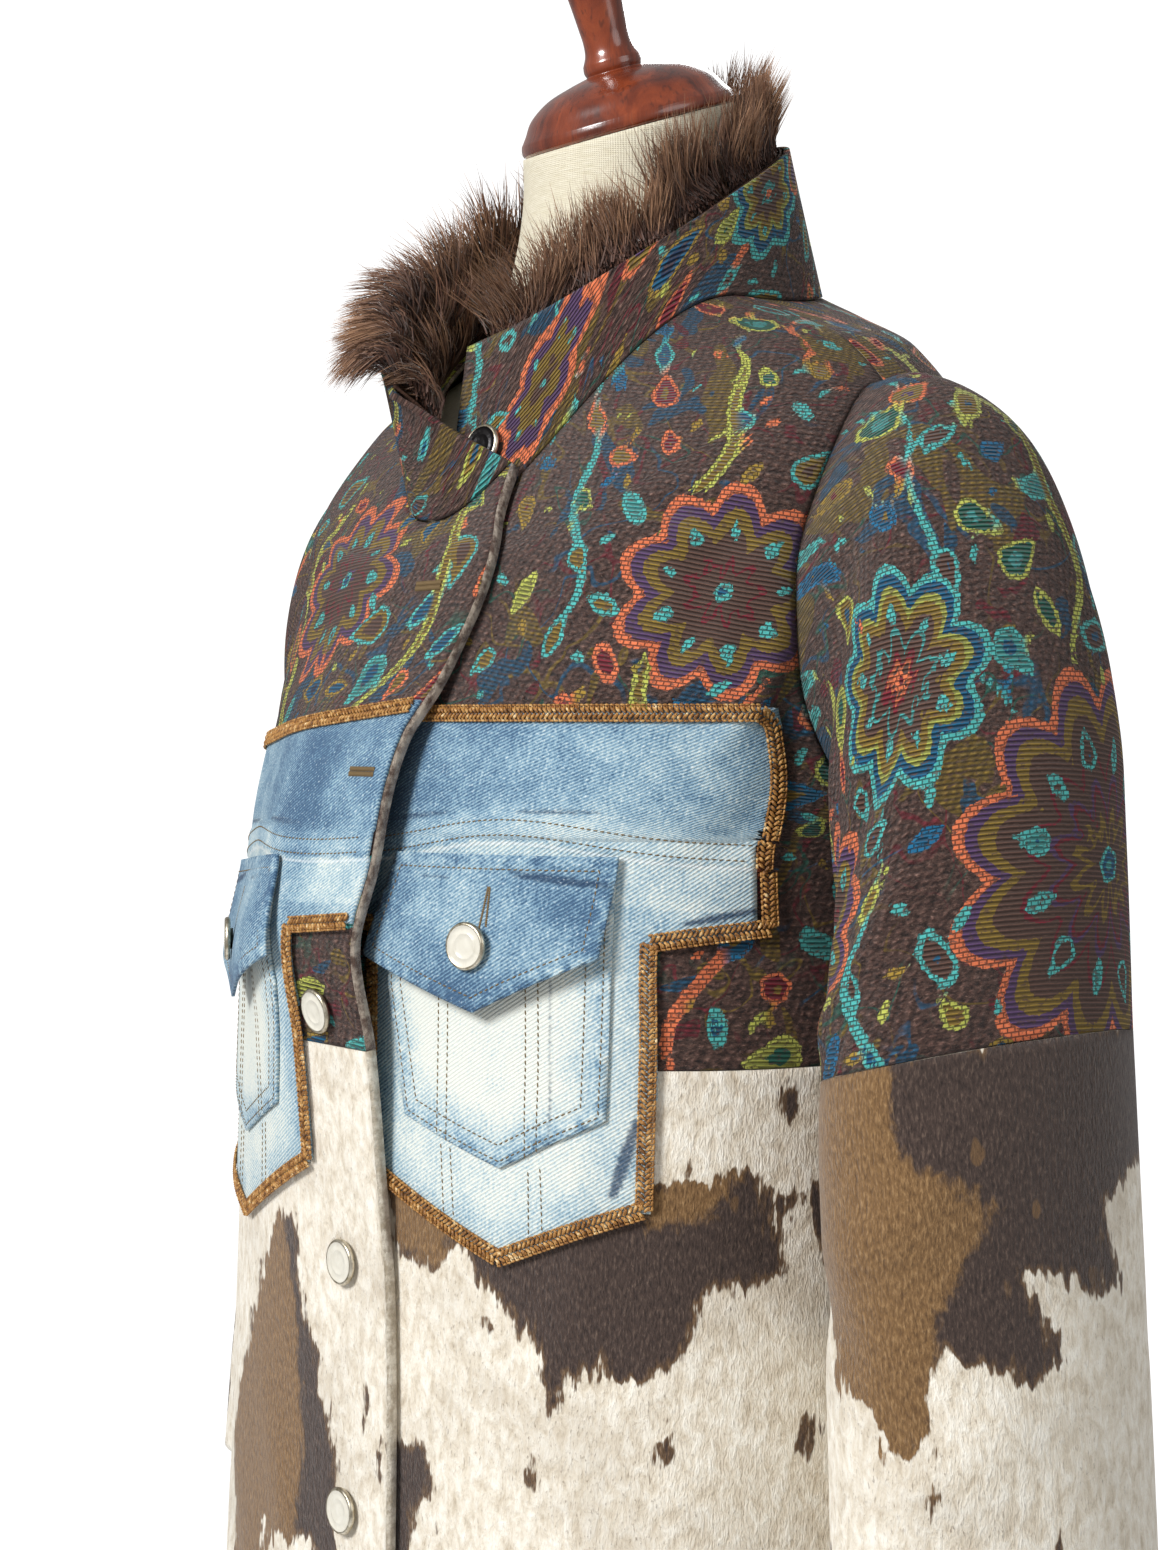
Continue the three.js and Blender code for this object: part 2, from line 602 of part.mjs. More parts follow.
// Buttons: rings of metal round a pale face, on the right front, on both flaps and inside the neck
const buttonAt = (name, pointAt, u, v, normal, gap) => {
  const turn = new THREE.Quaternion().setFromUnitVectors(new THREE.Vector3(0, 0, 1), normal);
  const seat = pointAt(u, v).addScaledVector(normal, gap);
  const button = turned(BUTTON, 16).applyQuaternion(turn).translate(...seat.toArray());
  add(name, button, "button");
};
const rightFace = (angle, side) => bodyPoint(angle, side, liftAt(angle, side));
FRONT_BUTTONS.forEach(([across, side], i) => {
  const angle = edgeAngle(across, side);
  const normal = normalOf(rightFace, angle, side, 0.5, 1);
  buttonAt(`button_front_${i + 1}`, rightFace, angle, side, normal, BUTTON_GAP);
});
for (const hand of ["left", "right"]) {
  const [across, side] = hand === "left" ? FLAP_BUTTON : crossed(FLAP_BUTTON);
  const lift = (angle, v) => (hand === "left" ? 0 : liftAt(angle, v));
  const flapFace = (angle, v) => bodyPoint(angle, v, lift(angle, v) + flapHeight(hand, v) + DENIM_THICK);
  const angle = facing(across, side);
  const normal = normalOf(flapFace, angle, side, 0.5, 1);
  buttonAt(`button_flap_${hand}`, flapFace, angle, side, normal, 2 * BUTTON_GAP);
}
const [neckTurn, neckRise] = NECK_BUTTON;
buttonAt("button_neck", collarPoint, neckTurn, neckRise, collarNormal(neckTurn, neckRise), BUTTON_GAP);

// The form: body and neck in one, a turned cap, a pole and a base
add("form_body", formBody(), "linen");
const lean = rad(NECK_LEAN);
const cap = turned(CAP, 24).rotateX(lean).translate(0, -SEAM * Math.sin(lean), NECK_TOP + SEAM);
add("form_cap", cap, "wood");
add("form_pole", turned(POLE, 20), "wood");
add("form_base", turned(BASE, 32), "wood");

export default coat;
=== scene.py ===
"""A patchwork coat of tapestry, denim and hide-print faux fur on a dress form. Metres, +Z up, front at -Y."""
import math

import bmesh
import bpy
import numpy as np
from mathutils import Matrix, Vector


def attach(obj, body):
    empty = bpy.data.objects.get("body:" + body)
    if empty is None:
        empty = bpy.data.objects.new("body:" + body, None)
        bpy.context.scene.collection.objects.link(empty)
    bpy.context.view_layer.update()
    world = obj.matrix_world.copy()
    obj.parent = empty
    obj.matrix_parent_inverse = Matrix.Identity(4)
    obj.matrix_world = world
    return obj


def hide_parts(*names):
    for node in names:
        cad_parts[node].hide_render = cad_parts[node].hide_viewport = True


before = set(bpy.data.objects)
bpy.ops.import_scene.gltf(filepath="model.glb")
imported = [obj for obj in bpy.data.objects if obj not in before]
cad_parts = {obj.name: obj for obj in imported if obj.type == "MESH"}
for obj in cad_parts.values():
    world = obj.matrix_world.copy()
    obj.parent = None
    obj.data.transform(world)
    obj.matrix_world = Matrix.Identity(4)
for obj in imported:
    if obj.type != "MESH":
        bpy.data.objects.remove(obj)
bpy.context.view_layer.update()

MM = 0.001
RNG = np.random.default_rng(7)

# The coat's measures in millimetres, as the solids have them
HEM, YOKE_SEAM, ARMPIT, SHOULDER, NECKLINE = 612, 1055, 1150, 1350, 1400
TAPESTRY, HIDE, DENIM_THICK, SEAM = 3, 4, 1.5, 0.3
# Girths: height, half width, depth in front and behind, how far front and back sink or rise, squareness
GIRTHS = [
    (HEM, 211, 173, 146, 0, 0, 2.5),
    (760, 204, 170, 141, 0, 0, 2.5),
    (900, 197, 166, 136, 0, 0, 2.5),
    (YOKE_SEAM, 190, 162, 131, 0, 0, 2.5),
    (ARMPIT, 188, 158, 129, 0, 0, 2.5),
    (1205, 188, 146, 127, -3, 0, 2.5),
    (1262, 188, 135, 124, -18, 8, 2.5),
    (1330, 186, 127, 120, -60, 12, 2.4),
    (1372, 150, 121, 114, -93, 18, 2.3),
    (1389, 112, 118, 108, -106, 20, 2.2),
    (NECKLINE, 84, 114, 103, -112, 20, 2.1),
]
# Front edges: height, right and left edge across, how far the right front is lifted
OPENING = [
    (HEM, 42, -24, 8), (842, 41, -24, 8), (946, 37, -24, 8), (989, 33, -24, 10), (1055, 32, -24, 18),
    (1100, 30, -24, 26), (1137, 34, -24, 20), (1191, 37, -22, 16), (1223, 46, -18, 10), (1267, 56, -12, 8),
    (1330, 60, -6, 8), (NECKLINE, 49, 0, 8),
]
LIFT_REACH = 110
# Folds: angle, spread, height outwards, and the heights between which they fade out
FOLDS = [
    (38, 9, 5, 560, 930), (66, 8, -5, 580, 980), (112, 10, 5, 560, 940), (150, 12, -6, 560, 1000),
    (196, 12, 6, 560, 960), (232, 10, -5, 560, 1010), (262, 9, 4, 560, 920), (316, 24, 8, 1080, 1330),
]
ARMHOLE_SPREAD = 18.5
ARMHOLE_MIDDLE, ARMHOLE_HALF = (ARMPIT + SHOULDER) / 2, (SHOULDER - ARMPIT) / 2
# Sleeve rings: distance along, centre x, y and z, half sizes outwards and forwards, tilt in degrees
SLEEVE_RINGS = [
    (0, 184, 0, 1250, 100, 62, 92), (14, 199, -1, 1248, 103, 65, 87), (35, 215, -3, 1236, 99, 67, 79),
    (59, 226, -6, 1214, 90, 70, 71), (87, 235, -9, 1187, 80, 71, 61), (118, 240, -13, 1157, 70, 71, 49),
    (154, 243, -16, 1121, 60, 72, 34), (199, 245, -19, 1076, 54, 75, 19), (235, 247, -21, 1040, 53, 77, 11),
    (276, 250, -22, 999, 53, 77, 5), (376, 257, -24, 899, 54, 77, 1), (497, 265, -28, 778, 55, 78, 0),
]
SLEEVE_BLEND, SLEEVE_SEAM, CUFF, RIGHT_SWING, SWING_REACH = 60, 212, 490, 36, 120
# Top edge of the collar: degrees round, x, y, z
COLLAR_EDGE = [
    (0, -7, -95, 1378), (25, 34, -88, 1388), (60, 66, -52, 1416), (95, 77, 0, 1450), (135, 56, 56, 1482),
    (180, 0, 86, 1497), (225, -57, 57, 1482), (265, -79, 0, 1451), (300, -73, -58, 1416),
    (335, -57, -108, 1380), (383, -9, -138, 1350),
]
COLLAR_GAP = 0.9
# Outlines across and up the left front; the right front's are mirrored and slope down towards the arm
RIGHT_SLOPE = 0.1
DENIM = [
    (-60, 1204), (177, 1204), (180, 1114), (152, 1108), (153, 998), (97, 973), (17, 1003), (15, 1110),
    (-60, 1110),
]
POCKET = [(35, 1142), (28, 1085), (42, 1028), (97, 1011), (140, 1034), (141, 1142)]
FLAP = [(33, 1143), (20, 1097), (90, 1077), (142, 1102), (143, 1144)]
FLAP_TOP, FLAP_STAND, FLAP_DEEP, FLAP_BUTTON = 1143, 7, 55, (87, 1105)
NECK_TOP, NECK_LEAN = 1494, 19.5
# The form: height and the room between it and the coat
FORM_ROOM = [
    (655, 62), (720, 40), (820, 30), (930, 38), (1020, 46), (1110, 30), (1200, 12), (1262, 5), (1300, 3.2),
    (1325, 2.6), (1345, 2.4), (1360, 2.4), (1372, 2.2), (1384, 2.2), (1393, 2.6), (1399, 5),
]
# The form's neck: share of the way to a round neck, radius, distance below the neck's top
NECK_RINGS = [(0.45, 54, 76), (0.75, 54, 58), (0.93, 53.5, 40), (1, 53, 22), (1, 53, 0)]
# Buttons: distance across and height; on the collar, degrees round and share of its height
FRONT_BUTTONS = [(13, 734), (11, 848), (7, 958), (2, 1071)]
NECK_BUTTON = (12, 0.36)


def smooth(t):
    t = np.clip(t, 0, 1)
    return t * t * (3 - 2 * t)


def curve(rows):
    """A function giving every column of a table on a smooth curve through its rows, for an array of keys."""
    table = np.array(rows, float)
    keys = table[:, 0]
    last = len(rows) - 1
    slopes = np.array([
        (table[min(last, i + 1)] - table[max(0, i - 1)]) / (keys[min(last, i + 1)] - keys[max(0, i - 1)])
        for i in range(last + 1)
    ])

    def at(key):
        key = np.asarray(key, float)
        k = np.clip(np.searchsorted(keys, key, side="left") - 1, 0, last - 1)
        span = (keys[k + 1] - keys[k])[..., None]
        t = ((key - keys[k]) / span[..., 0])[..., None]
        p, q, m, n = table[k], table[k + 1], slopes[k] * span, slopes[k + 1] * span
        out = p + t * m + t * t * (3 * (q - p) - 2 * m - n) + t ** 3 * (2 * (p - q) + m + n)
        return [out[..., c] for c in range(1, out.shape[-1])]

    return at


girth_at, opening_at = curve(GIRTHS), curve(OPENING)
ring_at, edge_at = curve(SLEEVE_RINGS), curve(COLLAR_EDGE)


def stack(x, y, z):
    return np.stack(np.broadcast_arrays(x, y, z), -1).astype(float)


def girth_point(angle, side):
    half, front, back, drop, rise, square = girth_at(side)
    across, rear = np.sin(np.radians(angle)), -np.cos(np.radians(angle))
    depth = np.where(rear < 0, front, back)
    reach = ((np.abs(across) / half) ** square + (np.abs(rear) / depth) ** square) ** (-1 / square)
    y = reach * rear
    return stack(reach * across, y, side + np.where(rear < 0, drop, rise) * (y / depth) ** 2)


def normal_of(point, u, v, du=0.5, dv=1.0):
    n = np.cross(point(u + du, v) - point(u - du, v), point(u, v + dv) - point(u, v - dv))
    return n / np.maximum(np.linalg.norm(n, axis=-1, keepdims=True), 1e-9)


def fold_height(angle, side):
    around = np.mod(angle, 360)
    total = 0
    for centre, spread, deep, low, high in FOLDS:
        fading = 1 - smooth((side - low) / (high - low))
        total = total + deep * fading * np.exp(-(((around - centre) / spread) ** 2))
    return total


def body_point(angle, side, height=0):
    out = fold_height(angle, side) + body_crease(angle, side) + height
    return girth_point(angle, side) + normal_of(girth_point, angle, side) * np.asarray(out)[..., None]


def lift_at(angle, side):
    _, left, lift = opening_at(side)
    return lift * smooth((girth_point(angle, side)[..., 0] + LIFT_REACH) / (left + LIFT_REACH))


def side_angle(side):
    cosine = np.clip((side - ARMHOLE_MIDDLE) / ARMHOLE_HALF, -1, 1)
    return ARMHOLE_SPREAD * np.sqrt(1 - cosine * cosine)


def edge_angle(across, side):
    return np.degrees(np.arctan2(across, girth_at(side)[1]))


def seam_angle(side):
    return np.degrees(SEAM / 2 / girth_at(side)[0])


def left_front(t, side):
    start = edge_angle(opening_at(side)[1], side)
    return body_point(start + (90 - side_angle(side) - seam_angle(side) - start) * t, side)


def right_front(t, side):
    start = edge_angle(opening_at(side)[0], side)
    angle = start + (-90 + side_angle(side) + seam_angle(side) - start) * (1 - t)
    return body_point(angle, side, lift_at(angle, side))


def back_panel(t, side):
    trim = 90 + side_angle(side) + seam_angle(side)
    return body_point(trim + (360 - 2 * trim) * t, side)


def armhole_point(theta):
    angle = 90 - ARMHOLE_SPREAD * np.sin(np.radians(theta))
    point = body_point(angle, ARMHOLE_MIDDLE + ARMHOLE_HALF * np.cos(np.radians(theta)))
    inward = girth_point(90.0, ARMHOLE_MIDDLE) - point
    inward[..., 0] = 0
    return point + inward / np.linalg.norm(inward, axis=-1, keepdims=True) * SEAM


def sleeve_ring(theta, along):
    x, y, z, out, fore, tilt = ring_at(along)
    o, f = out * np.cos(np.radians(theta)), fore * np.sin(np.radians(theta))
    return stack(x + o * np.cos(np.radians(tilt)), y - f, z + o * np.sin(np.radians(tilt)))


def sleeve_surface(swing, hand):
    """The sleeve on the wearer's left; the right one is mirrored afterwards. Its turn runs against theta."""

    def plain(turn, rise):
        theta, along = -turn, -rise
        shift = armhole_point(theta) - sleeve_ring(theta, theta * 0)
        point = sleeve_ring(theta, along) + shift * (1 - smooth(along / SLEEVE_BLEND))[..., None]
        point[..., 1] += swing * smooth(along / SWING_REACH)
        return point

    def creased(turn, rise):
        turn, rise = np.broadcast_arrays(np.asarray(turn, float), np.asarray(rise, float))
        deep = sleeve_crease(np.mod(-turn, 360), -rise, hand)
        return plain(turn, rise) + normal_of(plain, turn, rise, 1.0, 1.0) * deep[..., None]

    return creased


def collar_point(turn, rise):
    turn, rise = np.broadcast_arrays(np.asarray(turn, float), np.asarray(rise, float))
    neckline = NECKLINE + 0 * turn
    base = body_point(turn, neckline, np.where(turn > 180, lift_at(turn - 360, neckline), 0))
    base[..., 2] += COLLAR_GAP
    x, y, z = edge_at(turn)
    return base + (stack(x, y, z) - base) * rise[..., None]


# How a place on a front is sought: a first angle as on a round coat, then steps that are held short
ROUND_RADIUS, ROUND_LIMIT = 200, 0.98
SEARCH_STEPS, LONGEST_TURN, HEIGHT_SHARE = 12, 8, 0.8


def front_at(hand, across, height, over=0):
    """The point of a front that lies at a distance across and a height, and its outward normal."""
    across, height = np.broadcast_arrays(np.asarray(across, float), np.asarray(height, float))
    side = height.copy()
    angle = np.degrees(np.arcsin(np.clip(across / ROUND_RADIUS, -ROUND_LIMIT, ROUND_LIMIT)))

    def face(a, s):
        lift = 0 if hand == "left" else lift_at(a, s)
        return body_point(a, s, lift + over)

    for _ in range(SEARCH_STEPS):
        p = face(angle, side)
        dx = (face(angle + 0.5, side) - face(angle - 0.5, side))[..., 0]
        angle = angle + np.clip((across - p[..., 0]) / np.maximum(dx, 0.4), -LONGEST_TURN, LONGEST_TURN)
        side = side + HEIGHT_SHARE * (height - p[..., 2])
    return face(angle, side), normal_of(face, angle, side)


# Each crease bows sideways by a share of its length and fades over a share of it at both ends
CREASE_BOW, CREASE_FADE, CREASE_END = 0.06, 0.35, 0.15


def ridges(u, v, rows):
    """Soft ridges and troughs along lines: from, to, width and height of each."""
    total = np.zeros(np.broadcast(u, v).shape)
    for u0, v0, u1, v1, wide, deep in rows:
        du, dv = u1 - u0, v1 - v0
        length = math.hypot(du, dv)
        t = ((u - u0) * du + (v - v0) * dv) / length ** 2
        off = ((u - u0) * dv - (v - v0) * du) / length
        bend = off + CREASE_BOW * length * np.sin(3.1 * np.clip(t, 0, 1))
        ends = smooth(t / CREASE_FADE + CREASE_END), smooth((1 - t) / CREASE_FADE + CREASE_END)
        total = total + deep * np.exp(-((bend / wide) ** 2)) * ends[0] * ends[1]
    return total


# Creases of the body: angle and height at each end, width, and height out of the cloth in millimetres
BODY_CREASES = [
    (66, 1292, 59, 1180, 2.8, 3.6), (71, 1235, 56, 1130, 4, -2.6), (50, 1340, 64, 1270, 4, -2.6),
    (57, 1300, 50, 1210, 3.4, -2.4), (40, 1345, 34, 1240, 5, 1.8), (26, 1300, 20, 1220, 4, -1.6),
    (60, 1062, 58, 1120, 3, 1.8), (74, 1000, 68, 760, 3.2, 3.0), (50, 900, 44, 640, 4, 2.6),
    (24, 930, 22, 690, 4, -1.8), (58, 830, 62, 630, 4, -2.8), (36, 1050, 33, 900, 3.4, 1.5),
    (-66, 1275, -59, 1170, 3, 3.0), (-30, 1290, -44, 1215, 6, -2.0), (-72, 980, -66, 740, 3.4, 2.8),
    (-46, 860, -50, 640, 4, -2.4), (-24, 900, -27, 660, 5, 1.8), (-52, 1330, -62, 1262, 4, -2.4),
    (112, 1260, 128, 1180, 5, 3.0), (124, 1130, 150, 1090, 7, -2.2), (246, 1268, 230, 1185, 5, 3.0),
    (236, 1140, 208, 1098, 7, -2.0), (168, 1330, 192, 1316, 9, -2.0), (150, 1290, 136, 1220, 7, -1.8),
    (210, 1300, 222, 1230, 7, 1.8), (140, 980, 146, 700, 6, 2.8), (206, 940, 200, 650, 6, -2.6),
    (222, 1010, 228, 760, 5, 2.4),
]
CREASE_START = -110


def body_crease(angle, side):
    around = np.mod(np.asarray(angle, float) - CREASE_START, 360) + CREASE_START
    return ridges(around, np.asarray(side, float) + 0 * around, BODY_CREASES)


# Creases of the sleeves: degrees forward from the shoulder line and distance along, twice; width and height
SLEEVE_CREASES = [
    (98, 30, 156, 112, 9, 4.2), (72, 84, 146, 156, 11, -4.0), (58, 140, 134, 200, 10, 3.6),
    (40, 60, 96, 118, 10, -2.2), (120, 60, 60, 22, 9, -2.0), (40, 250, 110, 285, 14, 2.8),
    (150, 300, 80, 330, 15, -2.8), (10, 190, 70, 232, 13, -2.0), (20, 330, 88, 380, 16, 2.4),
    (200, 120, 262, 60, 12, 3.6), (215, 170, 285, 120, 12, -3.4), (350, 120, 40, 170, 14, 1.6),
    (225, 230, 300, 205, 13, 2.8), (240, 300, 310, 340, 16, -2.6), (300, 380, 230, 420, 16, 2.4),
    (330, 60, 290, 130, 12, -1.8), (100, 420, 40, 450, 18, -2.2),
]
# The right sleeve has them mirrored, moved a little and turned in
RIGHT_CREASES = [
    (360 - a, s * 1.06 + 6, 360 - b, t * 0.97 + 9, wide, -0.9 * deep)
    for a, s, b, t, wide, deep in SLEEVE_CREASES
]


def sleeve_crease(theta, along, hand):
    rows = SLEEVE_CREASES if hand == "left" else RIGHT_CREASES
    return ridges(theta, along, rows) * smooth(along / 30) * smooth((CUFF + 14 - along) / 30)


def new_object(name, bm, materials):
    mesh = bpy.data.meshes.new(name)
    bm.to_mesh(mesh)
    bm.free()
    for polygon in mesh.polygons:
        polygon.use_smooth = True
    for material in materials:
        mesh.materials.append(material)
    obj = bpy.data.objects.new(name, mesh)
    bpy.context.collection.objects.link(obj)
    return obj


def belong(obj, slot, *nodes):
    """Rides a piece on the root and hides the nodes that it replaces. The slot is not used."""
    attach(obj, "root")
    if nodes:
        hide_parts(*nodes)


def run_along(grid, axis=0):
    """Distance along a grid's rows or columns, from the first point of each."""
    steps = np.linalg.norm(np.diff(grid, axis=axis), axis=-1)
    return np.insert(np.cumsum(steps, axis=axis), 0, 0, axis=axis)


def between(ends, share):
    return ends[0] + (ends[1] - ends[0]) * share


def add_floats(mesh, name, values):
    attribute = mesh.attributes.new(name, "FLOAT", "POINT")
    attribute.data.foreach_set("value", np.asarray(values, np.float32).ravel())


def add_colours(mesh, name, values):
    rgba = np.ones((len(values), 4), np.float32)
    rgba[:, :3] = values
    mesh.attributes.new(name, "FLOAT_COLOR", "POINT").data.foreach_set("color", rgba.ravel())


# The right fronts are thicker along the opening: over this distance in, and then fading over this one
THICK_EDGE, THICK_FADE = 6, 9


class Sheet:
    """A cloth piece: a grid laid on a surface, cut to an outline and given its thickness."""

    def __init__(self, name, point, us, vs, counts, thick, materials, uv0=(0, 0), ref=0.0, closed=False,
                 mirror=False, cuts=(), keep=None, rim=0, edge_thick=0):
        bm = bmesh.new()
        bmesh.ops.create_grid(bm, x_segments=counts[0], y_segments=counts[1], size=0.5)
        flat = np.array([v.co[:2] for v in bm.verts]) + 0.5
        i, j = (np.rint(flat[:, k] * counts[k]).astype(int) for k in (0, 1))
        columns, rows = np.linspace(*us, counts[0] + 1), np.linspace(*vs, counts[1] + 1)
        grid = point(*np.meshgrid(columns, rows, indexing="ij"))
        if mirror:
            grid = grid * np.array([-1, 1, 1])
        across, up = run_along(grid), run_along(grid, 1)
        across = across - across[int(round(ref * counts[0]))]
        self.uv0 = uv0
        self.uv = np.stack([across[i, j] + uv0[0], up[i, j] + uv0[1]], -1)
        self.place = grid[i, j]
        self.param = np.stack([between(us, flat[:, 0]), between(vs, flat[:, 1])], -1)
        layer = bm.loops.layers.uv.new("cloth")
        source = bm.verts.layers.int.new("source")
        for k, (vert, place, uv) in enumerate(zip(bm.verts, self.place, self.uv)):
            vert.co = Vector(place) * MM
            vert[source] = k
            for loop in vert.link_loops:
                loop[layer].uv = Vector(uv) * MM
        if keep is not None:
            kept = keep(self.place)
            bm.verts.ensure_lookup_table()
            doomed = [f for f in bm.faces if not all(kept[w.index] for w in f.verts)]
            bmesh.ops.delete(bm, geom=doomed, context="FACES")
        for a, b in cuts:
            bm.normal_update()
            start = Vector((a[0], 0, a[1])) * MM
            out = Vector((b[1] - a[1], 0, a[0] - b[0]))
            bmesh.ops.bisect_plane(bm, geom=bm.verts[:] + bm.edges[:] + bm.faces[:], plane_co=start,
                                   plane_no=out, clear_outer=True)
        if closed:
            bmesh.ops.remove_doubles(bm, verts=bm.verts, dist=1e-6)
        if mirror:
            bmesh.ops.reverse_faces(bm, faces=bm.faces)
        self.source = np.array([v[source] for v in bm.verts])
        self.obj = new_object(name + "_cloth", bm, materials)
        if thick:
            self.thicken(thick, rim, edge_thick)

    def thicken(self, thick, rim, edge_thick):
        """Gives the cloth its thickness inwards, and a greater one along the opening."""
        shell = self.obj.modifiers.new("thickness", "SOLIDIFY")
        shell.thickness = thick * MM
        if edge_thick:
            group = self.obj.vertex_groups.new(name="edge")
            for index, across in enumerate(self.uv[self.source, 0] - self.uv0[0]):
                near = 1 - float(smooth((abs(across) - THICK_EDGE) / THICK_FADE))
                group.add([index], thick / edge_thick * (1 - near) + near, "REPLACE")
            shell.thickness = edge_thick * MM
            shell.vertex_group = "edge"
        shell.offset = -1
        shell.use_even_offset = False
        shell.material_offset_rim = rim

    def coords(self):
        """Cloth coordinates in metres of the mesh's own vertices, read back from the layer."""
        mesh = self.obj.data
        out = np.zeros((len(mesh.vertices), 2), np.float32)
        index = np.empty(len(mesh.loops), np.int32)
        mesh.loops.foreach_get("vertex_index", index)
        uv = np.empty(len(mesh.loops) * 2, np.float32)
        mesh.uv_layers["cloth"].data.foreach_get("uv", uv)
        out[index] = uv.reshape(-1, 2)
        return out

    def places(self):
        mesh = self.obj.data
        co = np.empty(len(mesh.vertices) * 3, np.float32)
        mesh.vertices.foreach_get("co", co)
        return co.reshape(-1, 3)

    def finish(self, node, slot, rests_on):
        """Rides a cloth on the root and hides its node, and works out its flat size, which is not used
        further. The slot and rests_on are not used.
        """
        belong(self.obj, slot, node)
        wide, tall = (float(x) for x in np.ptp(self.coords(), axis=0))


# Materials
def node_material(name):
    material = bpy.data.materials.new(name)
    material.use_nodes = True
    nodes = material.node_tree.nodes
    nodes.clear()
    out = nodes.new("ShaderNodeOutputMaterial")
    shader = nodes.new("ShaderNodeBsdfPrincipled")
    material.node_tree.links.new(shader.outputs[0], out.inputs[0])
    return material, Graph(material.node_tree), shader


# The wave texture repeats every 2 pi / 20 at a scale of 1
WAVE_PERIOD = 2 * math.pi / 20


class Graph:
    """Short ways to add shader nodes and join them."""

    def __init__(self, tree):
        self.tree = tree

    def put(self, socket, value):
        if isinstance(value, bpy.types.NodeSocket):
            self.tree.links.new(value, socket)
        elif value is not None:
            socket.default_value = value

    def new(self, kind, **inputs):
        """A node of a kind; each word names one of its inputs, with _ for a space."""
        node = self.tree.nodes.new("ShaderNode" + kind)
        for word, value in inputs.items():
            self.put(node.inputs[word.replace("_", " ")], value)
        return node

    def math(self, operation, a, b=None, clamp=False):
        node = self.new("Math")
        node.operation = operation
        node.use_clamp = clamp
        self.put(node.inputs[0], a)
        self.put(node.inputs[1], b)
        return node.outputs[0]

    def times(self, a, b):
        return self.math("MULTIPLY", a, b)

    def plus(self, a, b):
        return self.math("ADD", a, b)

    def rest(self, value):
        """What is left of 1."""
        return self.math("SUBTRACT", 1.0, value)

    def swing(self, value, size):
        """A value between 0 and 1 made to swing about 0, by a size from end to end."""
        return self.times(self.math("SUBTRACT", value, 0.5), size)

    def mix(self, factor, a, b, blend="MIX"):
        node = self.new("Mix")
        node.data_type = "RGBA"
        node.blend_type = blend
        self.put(node.inputs[0], factor)
        for socket, value in ((node.inputs[6], a), (node.inputs[7], b)):
            self.put(socket, value if isinstance(value, bpy.types.NodeSocket) else (*value, 1))
        return node.outputs[2]

    def attribute(self, name, output="Fac"):
        node = self.new("Attribute")
        node.attribute_name = name
        return node.outputs[output]

    def uv(self):
        node = self.new("UVMap")
        node.uv_map = "cloth"
        return node.outputs[0]

    def object_coords(self):
        return self.new("TexCoord").outputs["Object"]

    def scaled(self, vector, scale, turn=0.0, move=(0, 0, 0)):
        words = {"Scale": scale, "Rotation": (0, 0, turn), "Location": move}
        return self.new("Mapping", Vector=vector, **words).outputs[0]

    def turned(self, vector, turn):
        return self.scaled(vector, (1, 1, 1), turn)

    def moved(self, vector, x, y):
        return self.scaled(vector, (1, 1, 1), 0, (x, y, 0))

    def noise(self, vector, scale, detail=2.0, rough=0.5, distortion=0.0):
        words = {"Scale": scale, "Detail": detail, "Roughness": rough, "Distortion": distortion}
        return self.new("TexNoise", Vector=vector, **words).outputs["Fac"]

    def wave(self, vector, pitch, direction="X", distortion=0.0, detail=0.0):
        """Bands with a pitch in millimetres."""
        words = {"Scale": WAVE_PERIOD / (pitch * MM), "Distortion": distortion, "Detail": detail}
        node = self.new("TexWave", Vector=vector, **words)
        node.bands_direction = direction
        return node.outputs["Fac"]

    def brick(self, vector, wide, tall, mortar):
        """Rows of small cells, sizes in millimetres, pale with dark joints."""
        sizes = {"Scale": 1 / MM, "Brick_Width": wide, "Row_Height": tall}
        joints = {"Mortar_Size": mortar, "Mortar_Smooth": 0.6}
        greys = {"Color1": (0.7, 0.7, 0.7, 1), "Color2": (1, 1, 1, 1), "Mortar": (0.12, 0.12, 0.12, 1)}
        return self.new("TexBrick", Vector=vector, **sizes, **joints, **greys).outputs["Color"]

    def ramp(self, factor, stops, constant=False):
        node = self.new("ValToRGB")
        node.color_ramp.interpolation = "CONSTANT" if constant else "LINEAR"
        elements = node.color_ramp.elements
        while len(elements) > 1:
            elements.remove(elements[0])
        elements[0].position = stops[0][0]
        elements[0].color = (*stops[0][1], 1)
        for place, colour in stops[1:]:
            elements.new(place).color = (*colour, 1)
        self.put(node.inputs[0], factor)
        return node.outputs[0]

    def step(self, value, low, high):
        node = self.new("MapRange", Value=value, From_Min=low, From_Max=high)
        node.interpolation_type = "SMOOTHSTEP"
        return node.outputs[0]

    def bump(self, height, distance, strength=1.0):
        return self.new("Bump", Height=height, Distance=distance, Strength=strength).outputs[0]


def linear(screen):
    """Linear light from a 0-255 screen value."""
    share = screen / 255
    return round(((share + 0.055) / 1.055) ** 2.4 if screen > 10 else share / 12.92, 4)


def tone(*screen):
    return tuple(linear(value) for value in screen)


def finish_shader(shader, g, colour, rough, normal=None, sheen=0.0, specular=None, metal=0.0):
    g.put(shader.inputs["Base Color"], colour)
    g.put(shader.inputs["Roughness"], rough)
    g.put(shader.inputs["Normal"], normal)
    shader.inputs["Metallic"].default_value = metal
    if sheen:
        shader.inputs["Sheen Weight"].default_value = sheen
        shader.inputs["Sheen Roughness"].default_value = 0.5
    if specular is not None:
        shader.inputs["Specular IOR Level"].default_value = specular


